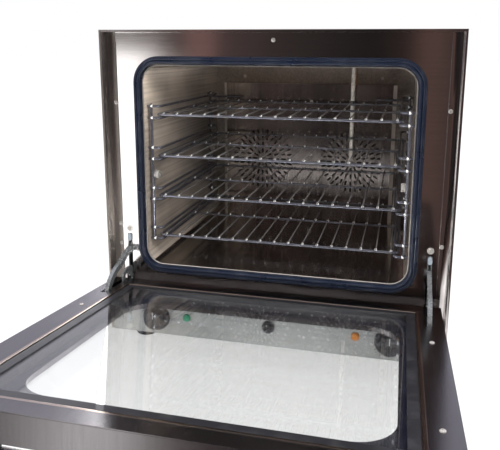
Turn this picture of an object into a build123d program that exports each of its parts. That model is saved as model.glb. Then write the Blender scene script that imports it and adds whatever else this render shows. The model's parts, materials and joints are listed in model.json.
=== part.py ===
from build123d import *
import os
from math import cos, radians, sin

os.makedirs("parts", exist_ok=True)

# Convection oven with its door hanging open. Millimetres, +Z up, the front faces -Y.
# The origin is on the ground under the middle of the case.

# Case
case_width = 595
case_height = 570
case_depth = 500
foot_height = 24
foot_radius = 20
foot_inset_x = 48
foot_inset_y = 50
skin = 1.2
lip_depth = 22
lip_width = 3.9
flange_width = 16
seam = 0.2
pan_edge = 14

# Chamber and mouth
mouth_side = 67.8
mouth_bottom = 156.8
mouth_head = 58.6
mouth_corner = 30
rear_space = 50
liner_wall = 1
insulation_wall = 16
insulation_front = 12
insulation_back = 8

# Gasket
gasket_offset = 1.5
gasket_width = 14
gasket_clearance = 0.3

# Control panel
panel_top = 82
knob_inset = 90.5
knob_z = 57
knob_radius = 25
knob_skirt = 6
knob_grip_radius = 19
knob_reach = 21
knob_gap = 1
pointer_width = 3
shaft_radius = 3
body_radius = 21
body_depth = 42
indicator_spacing = 57
indicator_z = 60
indicator_radius = 7
indicator_body_radius = 5.5
indicator_body_depth = 22
indicator_reach = 4
button_radius = 8.25
button_reach = 7
button_travel = 3
bezel_radius = 11
bezel_reach = 3

# Fan guard and fans
guard_side = 34.7
guard_head = 46.6
guard_depth = 62
guard_wall = 1
guard_bevel = 8
fan_spread = 4
fan_drop = 18.3
fan_clearance = 12
blade_count = 12
blade_depth = 28
hub_radius = 14
fan_shaft_radius = 4
motor_size = 84
motor_depth = 36
heater_side = 17.5
heater_tube = 3.2
heater_pitch = 13
heater_lead_spacing = 16
slot_length = 11
slot_width = 4
slot_rings = ((0.875, 36), (0.68, 28), (0.46, 20), (0.25, 12))

# Wire shelves and their supports
wire = 5
thin_wire = 3
bar_wire = 4.4
post_wire = 5.6
level_count = 4
first_level_rise = 42.2
last_level_head = 91.6
runner_gap = 20.5
runner_inset = 22.7
post_inset = 7.2
rod_wall_gap = 0.5
support_front = 15
support_back_gap = 14
support_bend = 8
shelf_inset = 16.2
shelf_front = 20
shelf_back_gap = 31
shelf_corner = 8
shelf_wire_count = 17
shelf_wire_inset = 11.9
shelf_play = 0.3
weld = 0.5
tie_length = 72.5
tie_rise = 14.2
nut_drop = 2.7
nut_across = 15
nut_depth = 6
washer_radius = 8.5
stud_radius = 3

# Steam pipe, probe and lamp
pipe_x = 102
pipe_gap = 16
pipe_rise = 7.5
pipe_radius = 4.5
pipe_bore = 3.2
pipe_bend = 18
pipe_head = 28.6
valve_size = 30
valve_depth = 20
inlet_radius = 10
inlet_reach = 12
clip_drop = 38.8
clip_width = 17
clip_height = 10
probe_x = 107
probe_gap = 14
probe_radius = 1.5
probe_drop = 64.8
lamp_gap = 66
lamp_glass_radius = 16
lamp_bezel_radius = 22
lamp_bezel_wall = 4
lamp_reach = 10
lamp_holder_depth = 28

# Door, in its closed position
door_side = 12.8
door_bottom = 85
door_head = 5
door_gap = 12
door_thickness = 36
pivot_depth = 30
pivot_rise = 18
open_angle = 84.5
stile_width = 41.7
bottom_rail = 33.5
top_rail = 30.5
glass_wall = 4
glass_inset = 3
trim_width = 6
seal_width = 13
outer_glass_depth = 24
border_side = 22
border_bottom = 24
border_top = 48
window_corner = 50
handle_drop = 45
handle_inset = 44.7
handle_radius = 11
handle_wall = 2
handle_standoff = 45
post_radius = 8
handle_overhang = 25

# Hinges
hinge_inset = 33.1
frame_slot_width = 8.4
frame_slot_bottom = 120
frame_slot_top = 209
door_slot_width = 8.4
door_slot_bottom = 90
door_slot_top = 175.5
pin_radius = 2.5
pin_clearance = 0.05
pin_head_radius = 4
pin_head = 1
claw_wall = 3
claw_hub_radius = 4.3
arm_inner = 2
arm_outer = 3.5
arm_hub_radius = 4.4
arm_radius = 61
arm_depth = 10
arm_web = 1.5
receiver_wall = 1.5
receiver_inner = 8
receiver_depth = 64.8
receiver_bottom = 54
receiver_top = 212
receiver_flange_top = 226
receiver_flange = 4
rivet_radius = 2
catch_width = 7
catch_height = 13.2
catch_front = 3
catch_back = 10
catch_bottom = 195.6

# Screws and running fits
screw_radius = 2
screw_head_radius = 3.6
screw_head = 2
hinge_screw_head_radius = 5.8
screw_fit = 0.05
running_fit = 0.05
edge_screw_inset = 16.2
low_edge_screw_z = 227
extra_screw_z = 190.5
edge_screw_drop = 123.7
top_screw_drop = 16.1
bottom_screw_z = 115
hinge_screw_z = 218.8
flange_screw_inset = 20.7
low_flange_screw_z = 243.5
flange_screw_drop = 85
back_screw_inset = 34.5
back_screw_rise = 12.2
guard_screw_x = 9.5
guard_screw_rise = 29.2

# Places that follow from the sizes above
half = case_width / 2
front_y = -case_depth / 2
back_y = case_depth / 2
face_y = front_y + lip_depth
inside_back_y = back_y - skin
chamber_depth = case_depth - lip_depth - rear_space
wall_y = face_y + chamber_depth
guard_y = wall_y - guard_depth
mouth_width = case_width - 2 * mouth_side
mouth_height = case_height - mouth_head - mouth_bottom
mouth_mid = mouth_bottom + mouth_height / 2
mouth_top = mouth_bottom + mouth_height
lip_x = half - lip_width
flange_x = lip_x - flange_width
lip_z = case_height - lip_width
flange_z = lip_z - flange_width
pan_top = foot_height + skin
sheet_top = case_height - skin
pivot_y = face_y - door_gap - pivot_depth
pivot_z = door_bottom + pivot_rise
gasket_height = door_gap - gasket_clearance
knob_x = half - knob_inset
indicator_x = knob_x - indicator_spacing
guard_half_width = mouth_width / 2 - guard_side
guard_height = mouth_height - guard_head
guard_top = mouth_bottom + guard_height
fan_x = guard_half_width / 2 + fan_spread
fan_z = mouth_bottom + guard_height / 2 - fan_drop
heater_radius = fan_x - heater_side
fan_radius = heater_radius - fan_clearance
blade_inner_radius = fan_radius / 2
first_level = mouth_bottom + first_level_rise
level_pitch = (mouth_top - last_level_head - first_level) / (level_count - 1)
levels = [first_level + level_pitch * number for number in range(level_count)]
runner_x = mouth_width / 2 - runner_inset
post_x = mouth_width / 2 - post_inset
shelf_half_width = mouth_width / 2 - shelf_inset
shelf_wire_pitch = 2 * (shelf_half_width - shelf_wire_inset) / (shelf_wire_count - 1)
nut_z = (levels[1] + runner_gap + levels[2]) / 2 - nut_drop
lamp_z = (levels[2] + runner_gap + levels[3]) / 2
pipe_top = mouth_top + pipe_head
door_width = case_width - 2 * door_side
door_height = case_height - door_head - door_bottom
door_top = door_bottom + door_height
glazing_half_width = door_width / 2 - stile_width
glazing_bottom = door_bottom + bottom_rail
glazing_top = door_top - top_rail
hinge_x = half - hinge_inset
edge_screw_x = half - edge_screw_inset
edge_screw_heights = (low_edge_screw_z, case_height - edge_screw_drop)
top_screw_z = case_height - top_screw_drop
flange_screw_x = door_width / 2 - flange_screw_inset
flange_screw_heights = (low_flange_screw_z, door_top - flange_screw_drop)
back_screw_x = guard_half_width - back_screw_inset
back_screw_z = guard_top + back_screw_rise
low_guard_screw_z = mouth_bottom + guard_screw_rise
high_guard_screw_z = guard_top - clip_drop
guard_screw_heights = (
    low_guard_screw_z,
    (low_guard_screw_z + high_guard_screw_z) / 2,
    high_guard_screw_z,
)
edge_screws = [(side * edge_screw_x, z) for side in (-1, 1) for z in edge_screw_heights]
edge_screws.append((-edge_screw_x, extra_screw_z))
hinge_screws = [(side * hinge_x, hinge_screw_z) for side in (-1, 1)]
middle_screws = [(0, bottom_screw_z), (0, top_screw_z)]
flange_screws = [(side * flange_screw_x, z) for side in (-1, 1) for z in flange_screw_heights]
sides = {"left": -1, "right": 1}


def save(piece, label):
    """Label one piece and write its STEP file."""
    piece.part.label = label
    export_step(piece.part, f"parts/{label}.step")


def facing_front(y):
    """Sketch plane at depth y. Extrusions go towards the front."""
    return Plane.XZ.offset(-y)


def slab(low_x, high_x, low_y, high_y, mode=Mode.ADD):
    """Rectangle between two corners of the sketch."""
    with Locations(((low_x + high_x) / 2, (low_y + high_y) / 2)):
        Rectangle(abs(high_x - low_x), abs(high_y - low_y), mode=mode)


def mouth_outline(offset, mode=Mode.ADD):
    """Rounded outline of the mouth, grown by an offset."""
    with Locations((0, mouth_mid)):
        RectangleRounded(
            mouth_width + 2 * offset, mouth_height + 2 * offset, mouth_corner + offset, mode=mode
        )


# The door is drawn closed and turned open about its hinge pins.
swing = Pos(0, pivot_y, pivot_z) * Rot(X=open_angle) * Pos(0, -pivot_y, -pivot_z)
closed_face = Plane(origin=(0, face_y - door_gap, 0), x_dir=(1, 0, 0), z_dir=(0, -1, 0))
door_face = Plane(swing * closed_face.location)


def in_door(depth):
    """Sketch plane in the door, at a depth under its inner face. Extrusions go outwards."""
    return door_face.offset(depth)


def beside_door(x):
    """Sketch plane across the door, seen from the side, with Y and Z as if it were closed."""
    return Plane(swing * Plane.YZ.offset(x).location)


# Case
with BuildPart() as base_pan:
    with BuildSketch(Plane.XY.offset(foot_height)):
        slab(-half + skin, half - skin, front_y + skin, inside_back_y)
    extrude(amount=skin)
    with BuildSketch(Plane.XY.offset(pan_top)):
        slab(-half + skin, half - skin, inside_back_y - skin, inside_back_y)
    extrude(amount=pan_edge)
save(base_pan, "base_pan")


def side_panel(side):
    """Side sheet whose front lip is folded back on itself and ends in a flange."""
    with BuildPart() as panel:
        with BuildSketch(Plane.XY.offset(foot_height)):
            slab(side * (half - skin), side * half, front_y, back_y)
        extrude(amount=sheet_top - foot_height)
        with BuildSketch(Plane.XY.offset(pan_top)):
            slab(side * lip_x, side * half, front_y, front_y + skin)
            slab(side * lip_x, side * (lip_x + skin), front_y, face_y)
            slab(side * flange_x, side * (lip_x + skin), face_y - skin, face_y)
        extrude(amount=lip_z - pan_top)
        with BuildSketch(facing_front(face_y)):
            with Locations(*[place for place in edge_screws if place[0] * side > 0]):
                Circle(screw_radius + screw_fit)
        extrude(amount=skin, mode=Mode.SUBTRACT)
    return panel


for name, side in sides.items():
    save(side_panel(side), f"side_panel_{name}")

with BuildPart() as top_panel:
    with BuildSketch(Plane.XY.offset(sheet_top)):
        slab(-half, half, front_y, back_y)
    extrude(amount=skin)
    with BuildSketch(Plane.YZ):
        slab(front_y, front_y + skin, lip_z, sheet_top)
    extrude(amount=half - skin, both=True)
    with BuildSketch(Plane.YZ):
        slab(front_y, face_y, lip_z, lip_z + skin)
    extrude(amount=lip_x, both=True)
    with BuildSketch(Plane.YZ):
        slab(face_y - skin, face_y, flange_z, lip_z + skin)
    extrude(amount=flange_x - seam, both=True)
    with BuildSketch(facing_front(face_y)):
        with Locations((0, top_screw_z)):
            Circle(screw_radius + screw_fit)
    extrude(amount=skin, mode=Mode.SUBTRACT)
save(top_panel, "top_panel")

vent_rows = 9
vent_pitch = 12
vent_length = 100
vent_width = 5
gland_inset = 97.5
gland_z = 70
gland_hole = 8
gland_x = gland_inset - half
with BuildPart() as back_panel:
    with BuildSketch(facing_front(back_y)):
        slab(-half + skin, half - skin, foot_height, sheet_top)
        for vent_x in (-fan_x, fan_x):
            with Locations((vent_x, fan_z)):
                with GridLocations(vent_length, vent_pitch, 1, vent_rows):
                    SlotOverall(vent_length, vent_width, mode=Mode.SUBTRACT)
        with Locations((gland_x, gland_z)):
            Circle(gland_hole, mode=Mode.SUBTRACT)
        with Locations((pipe_x, pipe_top)):
            Circle(inlet_radius, mode=Mode.SUBTRACT)
    extrude(amount=skin)
save(back_panel, "back_panel")

with BuildPart() as front_frame:
    with BuildSketch(facing_front(face_y + skin)):
        slab(-half + skin, half - skin, panel_top - skin, sheet_top)
        mouth_outline(0, Mode.SUBTRACT)
        for side in sides.values():
            slab(
                side * hinge_x - frame_slot_width / 2,
                side * hinge_x + frame_slot_width / 2,
                frame_slot_bottom,
                frame_slot_top,
                Mode.SUBTRACT,
            )
        with Locations(*edge_screws, *hinge_screws, *middle_screws):
            Circle(screw_radius + screw_fit, mode=Mode.SUBTRACT)
    extrude(amount=skin)
save(front_frame, "front_frame")

with BuildPart() as feet:
    with BuildSketch():
        with GridLocations(case_width - 2 * foot_inset_x, case_depth - 2 * foot_inset_y, 2, 2):
            Circle(foot_radius)
    extrude(amount=foot_height)
    chamfer(feet.edges().group_by(Axis.Z)[0], foot_radius / 10)
save(feet, "feet")

# Chamber
lamp_y = guard_y - lamp_gap
pipe_y = guard_y - pipe_gap
pipe_bottom = fan_z + pipe_rise
clip_z = guard_top - clip_drop
probe_y = guard_y + probe_gap
support_front_y = face_y + support_front
support_back_y = guard_y - support_back_gap
stud_offset = post_wire / 2 + stud_radius + 1
studs = [(support_front_y + stud_offset, nut_z), (support_back_y - stud_offset, nut_z)]
heater_leads = [
    (fan + lead, fan_z + heater_radius)
    for fan in (-fan_x, fan_x)
    for lead in (-heater_lead_spacing / 2, heater_lead_spacing / 2)
]

with BuildPart() as cavity_liner:
    with BuildSketch(facing_front(wall_y + liner_wall)):
        mouth_outline(liner_wall)
    extrude(amount=chamber_depth + liner_wall - skin)
    with BuildSketch(facing_front(wall_y)):
        mouth_outline(0)
    extrude(amount=chamber_depth, mode=Mode.SUBTRACT)
    with BuildSketch(facing_front(wall_y + liner_wall)):
        with Locations((-fan_x, fan_z), (fan_x, fan_z)):
            Circle(fan_shaft_radius + 1)
        with Locations(*heater_leads):
            Circle(heater_tube + screw_fit)
        with Locations((-back_screw_x, back_screw_z), (back_screw_x, back_screw_z)):
            Circle(screw_radius + screw_fit)
    extrude(amount=liner_wall, mode=Mode.SUBTRACT)
    with BuildSketch(Plane.XY.offset(mouth_top)):
        with Locations((pipe_x, pipe_y)):
            Circle(pipe_radius + screw_fit)
        with Locations((probe_x, probe_y)):
            Circle(probe_radius + screw_fit)
    extrude(amount=liner_wall, mode=Mode.SUBTRACT)
    with BuildSketch(Plane.YZ):
        with Locations(*studs):
            Circle(stud_radius + screw_fit)
    extrude(amount=half, both=True, mode=Mode.SUBTRACT)
    with BuildSketch(Plane.YZ.offset(mouth_width / 2)):
        with Locations((lamp_y, lamp_z)):
            Circle(lamp_glass_radius)
    extrude(amount=liner_wall, mode=Mode.SUBTRACT)
save(cavity_liner, "cavity_liner")

with BuildPart() as insulation:
    with BuildSketch(facing_front(wall_y - insulation_back)):
        mouth_outline(liner_wall + insulation_wall)
        mouth_outline(liner_wall, Mode.SUBTRACT)
    extrude(amount=chamber_depth - insulation_front - insulation_back)
    with BuildSketch(Plane.XY.offset(mouth_top)):
        with Locations((pipe_x, pipe_y)):
            Circle(pipe_radius + 2)
        with Locations((probe_x, probe_y)):
            Circle(probe_radius + 3)
    extrude(amount=liner_wall + insulation_wall, mode=Mode.SUBTRACT)
    with BuildSketch(Plane.YZ):
        with Locations(*studs):
            Circle(stud_radius + 2)
    extrude(amount=half, both=True, mode=Mode.SUBTRACT)
    with BuildSketch(Plane.YZ.offset(mouth_width / 2)):
        with Locations((lamp_y, lamp_z)):
            Circle(lamp_bezel_radius)
    extrude(amount=liner_wall + insulation_wall, mode=Mode.SUBTRACT)
save(insulation, "insulation")

with BuildPart() as cavity_gasket:
    with BuildSketch(facing_front(face_y)):
        mouth_outline(gasket_offset + gasket_width)
        mouth_outline(gasket_offset, Mode.SUBTRACT)
    extrude(amount=gasket_height)
    fillet(cavity_gasket.faces().sort_by(Axis.Y)[0].edges(), gasket_width * 0.4)
save(cavity_gasket, "cavity_gasket")

# Fan guard, fans and heaters
with BuildPart() as fan_guard:
    with BuildSketch(facing_front(wall_y)):
        slab(-guard_half_width, guard_half_width, mouth_bottom, guard_top)
    extrude(amount=guard_depth)
    front_sides = fan_guard.faces().sort_by(Axis.Y)[0].edges().filter_by(Axis.Z)
    chamfer(front_sides, guard_bevel)
    offset(
        amount=-guard_wall, openings=fan_guard.faces().sort_by(Axis.Y)[-1], kind=Kind.INTERSECTION
    )
    with BuildSketch(facing_front(guard_y + guard_wall)):
        with Locations((-fan_x, fan_z), (fan_x, fan_z)):
            for ring_share, ring_count in slot_rings:
                with PolarLocations(ring_share * fan_radius, ring_count):
                    SlotOverall(slot_length, slot_width)
        with Locations(*[(guard_screw_x, z) for z in guard_screw_heights]):
            Circle(screw_radius + screw_fit)
    extrude(amount=guard_wall, mode=Mode.SUBTRACT)
    with BuildSketch(Plane.XY.offset(guard_top - guard_wall)):
        with Locations((probe_x, probe_y)):
            Circle(probe_radius + screw_fit)
    extrude(amount=guard_wall, mode=Mode.SUBTRACT)
save(fan_guard, "fan_guard")

disc_back_y = wall_y - 12
blade_front_y = disc_back_y - blade_depth
motor_front_y = wall_y + liner_wall
blade_mid = (fan_radius + blade_inner_radius) / 2


def fan(side):
    """Fan wheel with its shaft, which turns in the motor."""
    with BuildPart() as wheel:
        with BuildSketch(facing_front(disc_back_y)):
            with Locations((side * fan_x, fan_z)):
                Circle(fan_radius)
        extrude(amount=skin)
        with BuildSketch(facing_front(disc_back_y - skin)):
            with Locations((side * fan_x, fan_z)):
                with PolarLocations(blade_mid, blade_count):
                    Rectangle(fan_radius - blade_inner_radius, skin, rotation=25)
        extrude(amount=blade_depth)
        with BuildSketch(facing_front(disc_back_y)):
            with Locations((side * fan_x, fan_z)):
                Circle(hub_radius)
        extrude(amount=blade_depth / 2)
        with BuildSketch(facing_front(disc_back_y - blade_depth / 2)):
            with Locations((side * fan_x, fan_z)):
                RegularPolygon(hub_radius * 0.6, 6)
        extrude(amount=blade_depth / 4)
        with BuildSketch(facing_front(motor_front_y + motor_depth / 2)):
            with Locations((side * fan_x, fan_z)):
                Circle(fan_shaft_radius)
        extrude(amount=motor_front_y + motor_depth / 2 - disc_back_y)
    return wheel


for name, side in sides.items():
    save(fan(side), f"fan_{name}")


with BuildPart() as fan_motors:
    fan_places = [(-fan_x, fan_z), (fan_x, fan_z)]
    with BuildSketch(facing_front(motor_front_y + motor_depth)):
        with Locations(*fan_places):
            RectangleRounded(motor_size, motor_size, motor_size / 8)
    extrude(amount=motor_depth - 2)
    with BuildSketch(facing_front(motor_front_y + 2)):
        with Locations(*fan_places):
            Circle(motor_size / 4)
    extrude(amount=2)
    with BuildSketch(facing_front(motor_front_y + motor_depth * 0.6)):
        with Locations(*fan_places):
            Circle(fan_shaft_radius + running_fit)
    extrude(amount=motor_depth * 0.6, mode=Mode.SUBTRACT)
save(fan_motors, "fan_motors")

heater_y = guard_y + guard_depth / 2
heater_turns = [heater_y - heater_pitch / 2, heater_y + heater_pitch / 2]
heater_collar = 2


with BuildPart() as ring_heaters:
    for fan_middle in (-fan_x, fan_x):
        for turn_y in heater_turns:
            with Locations(Location((fan_middle, turn_y, fan_z), (90, 0, 0))):
                Torus(heater_radius, heater_tube)
        with BuildSketch(facing_front(heater_turns[1])):
            with Locations((fan_middle, fan_z - heater_radius)):
                Rectangle(heater_tube, heater_tube)
        extrude(amount=heater_pitch)
    with BuildSketch(facing_front(motor_front_y + heater_collar)):
        with Locations(*heater_leads):
            Circle(heater_tube)
    extrude(amount=motor_front_y + heater_collar - heater_turns[0])
    with BuildSketch(facing_front(wall_y)):
        with Locations(*heater_leads):
            Circle(heater_tube * 2)
    extrude(amount=heater_collar)
save(ring_heaters, "ring_heaters")

with BuildPart() as chamber_screws:
    for screw_y, places in (
        (guard_y, [(guard_screw_x, z) for z in guard_screw_heights]),
        (wall_y, [(-back_screw_x, back_screw_z), (back_screw_x, back_screw_z)]),
    ):
        with BuildSketch(facing_front(screw_y)):
            with Locations(*places):
                Circle(screw_head_radius)
        extrude(amount=screw_head)
        with BuildSketch(facing_front(screw_y + 3 * guard_wall)):
            with Locations(*places):
                Circle(screw_radius)
        extrude(amount=3 * guard_wall)
save(chamber_screws, "chamber_screws")

# Steam pipe, water valve, probe and lamp
valve_front_y = inside_back_y - valve_depth
with BuildPart() as steam_pipe:
    with BuildLine():
        FilletPolyline(
            (pipe_x, pipe_y, pipe_bottom),
            (pipe_x, pipe_y, pipe_top),
            (pipe_x, valve_front_y, pipe_top),
            radius=pipe_bend,
        )
    with BuildSketch(Plane.XY.offset(pipe_bottom)):
        with Locations((pipe_x, pipe_y)):
            Circle(pipe_radius)
            Circle(pipe_bore, mode=Mode.SUBTRACT)
    sweep()
save(steam_pipe, "steam_pipe")

with BuildPart() as water_valve:
    with BuildSketch(facing_front(inside_back_y)):
        with Locations((pipe_x, pipe_top)):
            RectangleRounded(valve_size, valve_size, valve_size / 8)
    extrude(amount=valve_depth)
    with BuildSketch(facing_front(back_y + inlet_reach)):
        with Locations((pipe_x, pipe_top)):
            Circle(inlet_radius)
    extrude(amount=inlet_reach + skin)
    with BuildSketch(facing_front(back_y + inlet_reach)):
        with Locations((pipe_x, pipe_top)):
            Circle(inlet_radius * 0.7)
    extrude(amount=inlet_reach, mode=Mode.SUBTRACT)
save(water_valve, "water_valve")

with BuildPart() as pipe_clip:
    with BuildSketch(Plane.XY.offset(clip_z - clip_height / 2)):
        slab(pipe_x - clip_width / 2, pipe_x + clip_width / 2, guard_y - skin, guard_y)
        slab(pipe_x - clip_width / 4, pipe_x + clip_width / 4, pipe_y, guard_y)
        with Locations((pipe_x, pipe_y)):
            Circle(pipe_radius + skin)
            Circle(pipe_radius, mode=Mode.SUBTRACT)
    extrude(amount=clip_height)
save(pipe_clip, "pipe_clip")

probe_bottom = guard_top - probe_drop
probe_top = mouth_top + liner_wall + insulation_wall + 4
with BuildPart() as temperature_probe:
    with BuildSketch(Plane.XY.offset(probe_bottom)):
        with Locations((probe_x, probe_y)):
            Circle(probe_radius)
    extrude(amount=probe_top - probe_bottom)
    with BuildSketch(Plane.XY.offset(mouth_top + liner_wall)):
        with Locations((probe_x, probe_y)):
            Circle(probe_radius + 2)
    extrude(amount=3)
save(temperature_probe, "temperature_probe")

lamp_wall_x = mouth_width / 2
with BuildPart() as lamp_bezel:
    with BuildSketch(Plane.YZ.offset(lamp_wall_x)):
        with Locations((lamp_y, lamp_z)):
            Circle(lamp_bezel_radius)
            Circle(lamp_glass_radius, mode=Mode.SUBTRACT)
    extrude(amount=-lamp_bezel_wall)
save(lamp_bezel, "lamp_bezel")

with BuildPart() as lamp_glass:
    with BuildSketch(Plane.YZ.offset(lamp_wall_x)):
        with Locations((lamp_y, lamp_z)):
            Circle(lamp_glass_radius)
    extrude(amount=-lamp_reach)
    fillet(lamp_glass.faces().sort_by(Axis.X)[0].edges(), lamp_reach * 0.5)
    with BuildSketch(Plane.YZ.offset(lamp_wall_x)):
        with Locations((lamp_y, lamp_z)):
            Circle(lamp_glass_radius - 2)
    extrude(amount=-lamp_reach * 0.6, mode=Mode.SUBTRACT)
save(lamp_glass, "lamp_glass")

with BuildPart() as lamp_holder:
    with BuildSketch(Plane.YZ.offset(lamp_wall_x + liner_wall)):
        with Locations((lamp_y, lamp_z)):
            Circle(lamp_glass_radius + 3)
    extrude(amount=lamp_holder_depth)
    with BuildSketch(Plane.YZ.offset(lamp_wall_x + liner_wall)):
        with Locations((lamp_y, lamp_z)):
            Circle(lamp_glass_radius - 3)
    extrude(amount=lamp_holder_depth * 0.7, mode=Mode.SUBTRACT)
save(lamp_holder, "lamp_holder")

bulb_back_x = lamp_wall_x + liner_wall + lamp_holder_depth * 0.7
with BuildPart() as lamp_bulb:
    with BuildSketch(Plane.YZ.offset(bulb_back_x)):
        with Locations((lamp_y, lamp_z)):
            Circle(lamp_glass_radius / 2)
    extrude(amount=-lamp_holder_depth * 0.7)
    fillet(lamp_bulb.faces().sort_by(Axis.X)[0].edges(), lamp_glass_radius * 0.4)
save(lamp_bulb, "lamp_bulb")

with BuildPart() as cable_gland:
    with BuildSketch(facing_front(back_y + 5)):
        with Locations((gland_x, gland_z)):
            RegularPolygon(gland_hole + 4, 6)
    extrude(amount=5)
    with BuildSketch(facing_front(back_y + 16)):
        with Locations((gland_x, gland_z)):
            Circle(gland_hole + 1.5)
    extrude(amount=11)
    chamfer(cable_gland.faces().sort_by(Axis.Y)[-1].edges(), 2)
    with BuildSketch(facing_front(back_y)):
        with Locations((gland_x, gland_z)):
            Circle(gland_hole)
    extrude(amount=skin + 3)
    with BuildSketch(facing_front(inside_back_y - 2)):
        with Locations((gland_x, gland_z)):
            RegularPolygon(gland_hole + 3, 6)
            Circle(gland_hole, mode=Mode.SUBTRACT)
    extrude(amount=-2)
    with BuildSketch(facing_front(back_y + 16)):
        with Locations((gland_x, gland_z)):
            Circle(gland_hole - 3.5)
    extrude(amount=16 + skin + 3, mode=Mode.SUBTRACT)
save(cable_gland, "cable_gland")

# Shelf supports and shelves
rod = wire / 2
rod_end_x = mouth_width / 2 - rod_wall_gap
tie_inner_x = post_x - tie_length
tie_z = levels[-1] + tie_rise


def rack_support(side):
    """Wire ladder on one chamber wall: two posts, four pairs of runners and a rear tie."""
    post_bottom = levels[0] - wire
    post_top = levels[-1] + runner_gap + wire
    with BuildPart() as support:
        for post_y in (support_front_y, support_back_y):
            with Locations((side * post_x, post_y, (post_bottom + post_top) / 2)):
                Cylinder(post_wire / 2, post_top - post_bottom)
        for z in [level + lift for level in levels for lift in (0, runner_gap)]:
            with BuildLine():
                FilletPolyline(
                    (side * rod_end_x, support_front_y, z),
                    (side * runner_x, support_front_y, z),
                    (side * runner_x, support_back_y, z),
                    (side * rod_end_x, support_back_y, z),
                    radius=support_bend,
                )
            with BuildSketch(Plane.YZ.offset(side * rod_end_x)):
                with Locations((support_front_y, z)):
                    Circle(rod)
            sweep()
        with BuildSketch(Plane.YZ.offset(side * post_x)):
            with Locations((support_back_y, tie_z)):
                Circle(rod)
        extrude(amount=-side * (post_x - tie_inner_x))
    return support


for name, side in sides.items():
    save(rack_support(side), f"rack_support_{name}")

washer = 1.5
clamp_x = post_x - post_wire / 2
with BuildPart() as support_nuts:
    for side in sides.values():
        with BuildSketch(Plane.YZ.offset(side * clamp_x)):
            with Locations(*studs):
                Circle(washer_radius)
        extrude(amount=-side * washer)
        with BuildSketch(Plane.YZ.offset(side * (clamp_x - washer))):
            with Locations(*studs):
                RegularPolygon(nut_across / 2, 6, major_radius=False)
        extrude(amount=-side * nut_depth)
        with BuildSketch(Plane.YZ.offset(side * clamp_x)):
            with Locations(*studs):
                Circle(stud_radius)
        extrude(amount=side * (mouth_width / 2 + liner_wall + insulation_wall / 2 - clamp_x))
save(support_nuts, "support_nuts")

shelf_front_y = face_y + shelf_front
shelf_back_y = guard_y - shelf_back_gap
shelf_depth = shelf_back_y - shelf_front_y
shelf_mid_y = (shelf_front_y + shelf_back_y) / 2
shelf_wires = [
    (number - (shelf_wire_count - 1) / 2) * shelf_wire_pitch for number in range(shelf_wire_count)
]


def shelf(level):
    """Wire shelf: a rounded rim, a middle bar and thin wires across the top."""
    bar_z = level + wire + shelf_play
    wire_z = bar_z + rod + thin_wire / 2 - weld
    with BuildPart() as rack:
        with BuildLine(Plane.XY.offset(bar_z)) as rim:
            FilletPolyline(
                (-shelf_half_width, shelf_front_y),
                (shelf_half_width, shelf_front_y),
                (shelf_half_width, shelf_back_y),
                (-shelf_half_width, shelf_back_y),
                radius=shelf_corner,
                close=True,
            )
        with BuildSketch(Plane(origin=rim.line @ 0, z_dir=rim.line % 0)):
            Circle(rod)
        sweep()
        with Locations((0, shelf_mid_y, bar_z)):
            Cylinder(bar_wire / 2, 2 * shelf_half_width, rotation=(0, 90, 0))
        with Locations(*[(x, shelf_mid_y, wire_z) for x in shelf_wires]):
            Cylinder(thin_wire / 2, shelf_depth + wire + 2, rotation=(90, 0, 0))
    return rack


for number, level in enumerate(levels, start=1):
    save(shelf(level), f"rack_{number}")

# Control panel
button_hole = bezel_radius - 1
with BuildPart() as control_panel:
    with BuildSketch(facing_front(front_y + skin)):
        slab(-lip_x + seam, lip_x - seam, foot_height, panel_top)
        with Locations((-knob_x, knob_z), (knob_x, knob_z)):
            Circle(shaft_radius + 1, mode=Mode.SUBTRACT)
        with Locations((-indicator_x, indicator_z), (indicator_x, indicator_z)):
            Circle(indicator_body_radius, mode=Mode.SUBTRACT)
        with Locations((0, indicator_z)):
            Circle(button_hole, mode=Mode.SUBTRACT)
    extrude(amount=skin)
    with BuildSketch(Plane.XY.offset(panel_top - skin)):
        slab(-lip_x + seam, lip_x - seam, front_y, face_y - skin - seam)
        slab(-flange_x + seam, flange_x - seam, front_y, face_y)
    extrude(amount=skin)
save(control_panel, "control_panel")

panel_back_y = front_y + skin


def knob_body(side):
    """Timer or thermostat body behind the panel, with the bore of the knob's shaft."""
    with BuildPart() as body:
        with BuildSketch(facing_front(panel_back_y + body_depth)):
            with Locations((side * knob_x, knob_z)):
                Circle(body_radius)
        extrude(amount=body_depth)
        with BuildSketch(facing_front(panel_back_y + body_depth / 2)):
            with Locations((side * knob_x, knob_z)):
                Circle(shaft_radius + running_fit)
        extrude(amount=body_depth / 2, mode=Mode.SUBTRACT)
    return body


def knob(side):
    """Round knob with a skirt, a tapered grip, a raised pointer and its shaft."""
    skirt_back_y = front_y - knob_gap
    skirt_front_y = skirt_back_y - knob_skirt
    tip_y = front_y - knob_reach
    with BuildPart() as piece:
        with BuildSketch(facing_front(skirt_back_y)):
            with Locations((side * knob_x, knob_z)):
                Circle(knob_radius)
        extrude(amount=knob_skirt)
        chamfer(piece.faces().sort_by(Axis.Y)[0].edges(), 2)
        with BuildSketch(facing_front(skirt_front_y)):
            with Locations((side * knob_x, knob_z)):
                Circle(knob_grip_radius)
        extrude(amount=skirt_front_y - tip_y, taper=4)
        with BuildSketch(facing_front(skirt_front_y)):
            with Locations((side * knob_x, knob_z + knob_grip_radius / 2)):
                Rectangle(pointer_width, knob_grip_radius)
        extrude(amount=skirt_front_y - tip_y + 1)
        with BuildSketch(facing_front(panel_back_y + body_depth / 2 - 1)):
            with Locations((side * knob_x, knob_z)):
                Circle(shaft_radius)
        extrude(amount=panel_back_y + body_depth / 2 - 1 - skirt_back_y)
    return piece


for name, side in {"timer": -1, "thermostat": 1}.items():
    save(knob_body(side), f"{name}_body")
    save(knob(side), f"{name}_knob")


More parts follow.
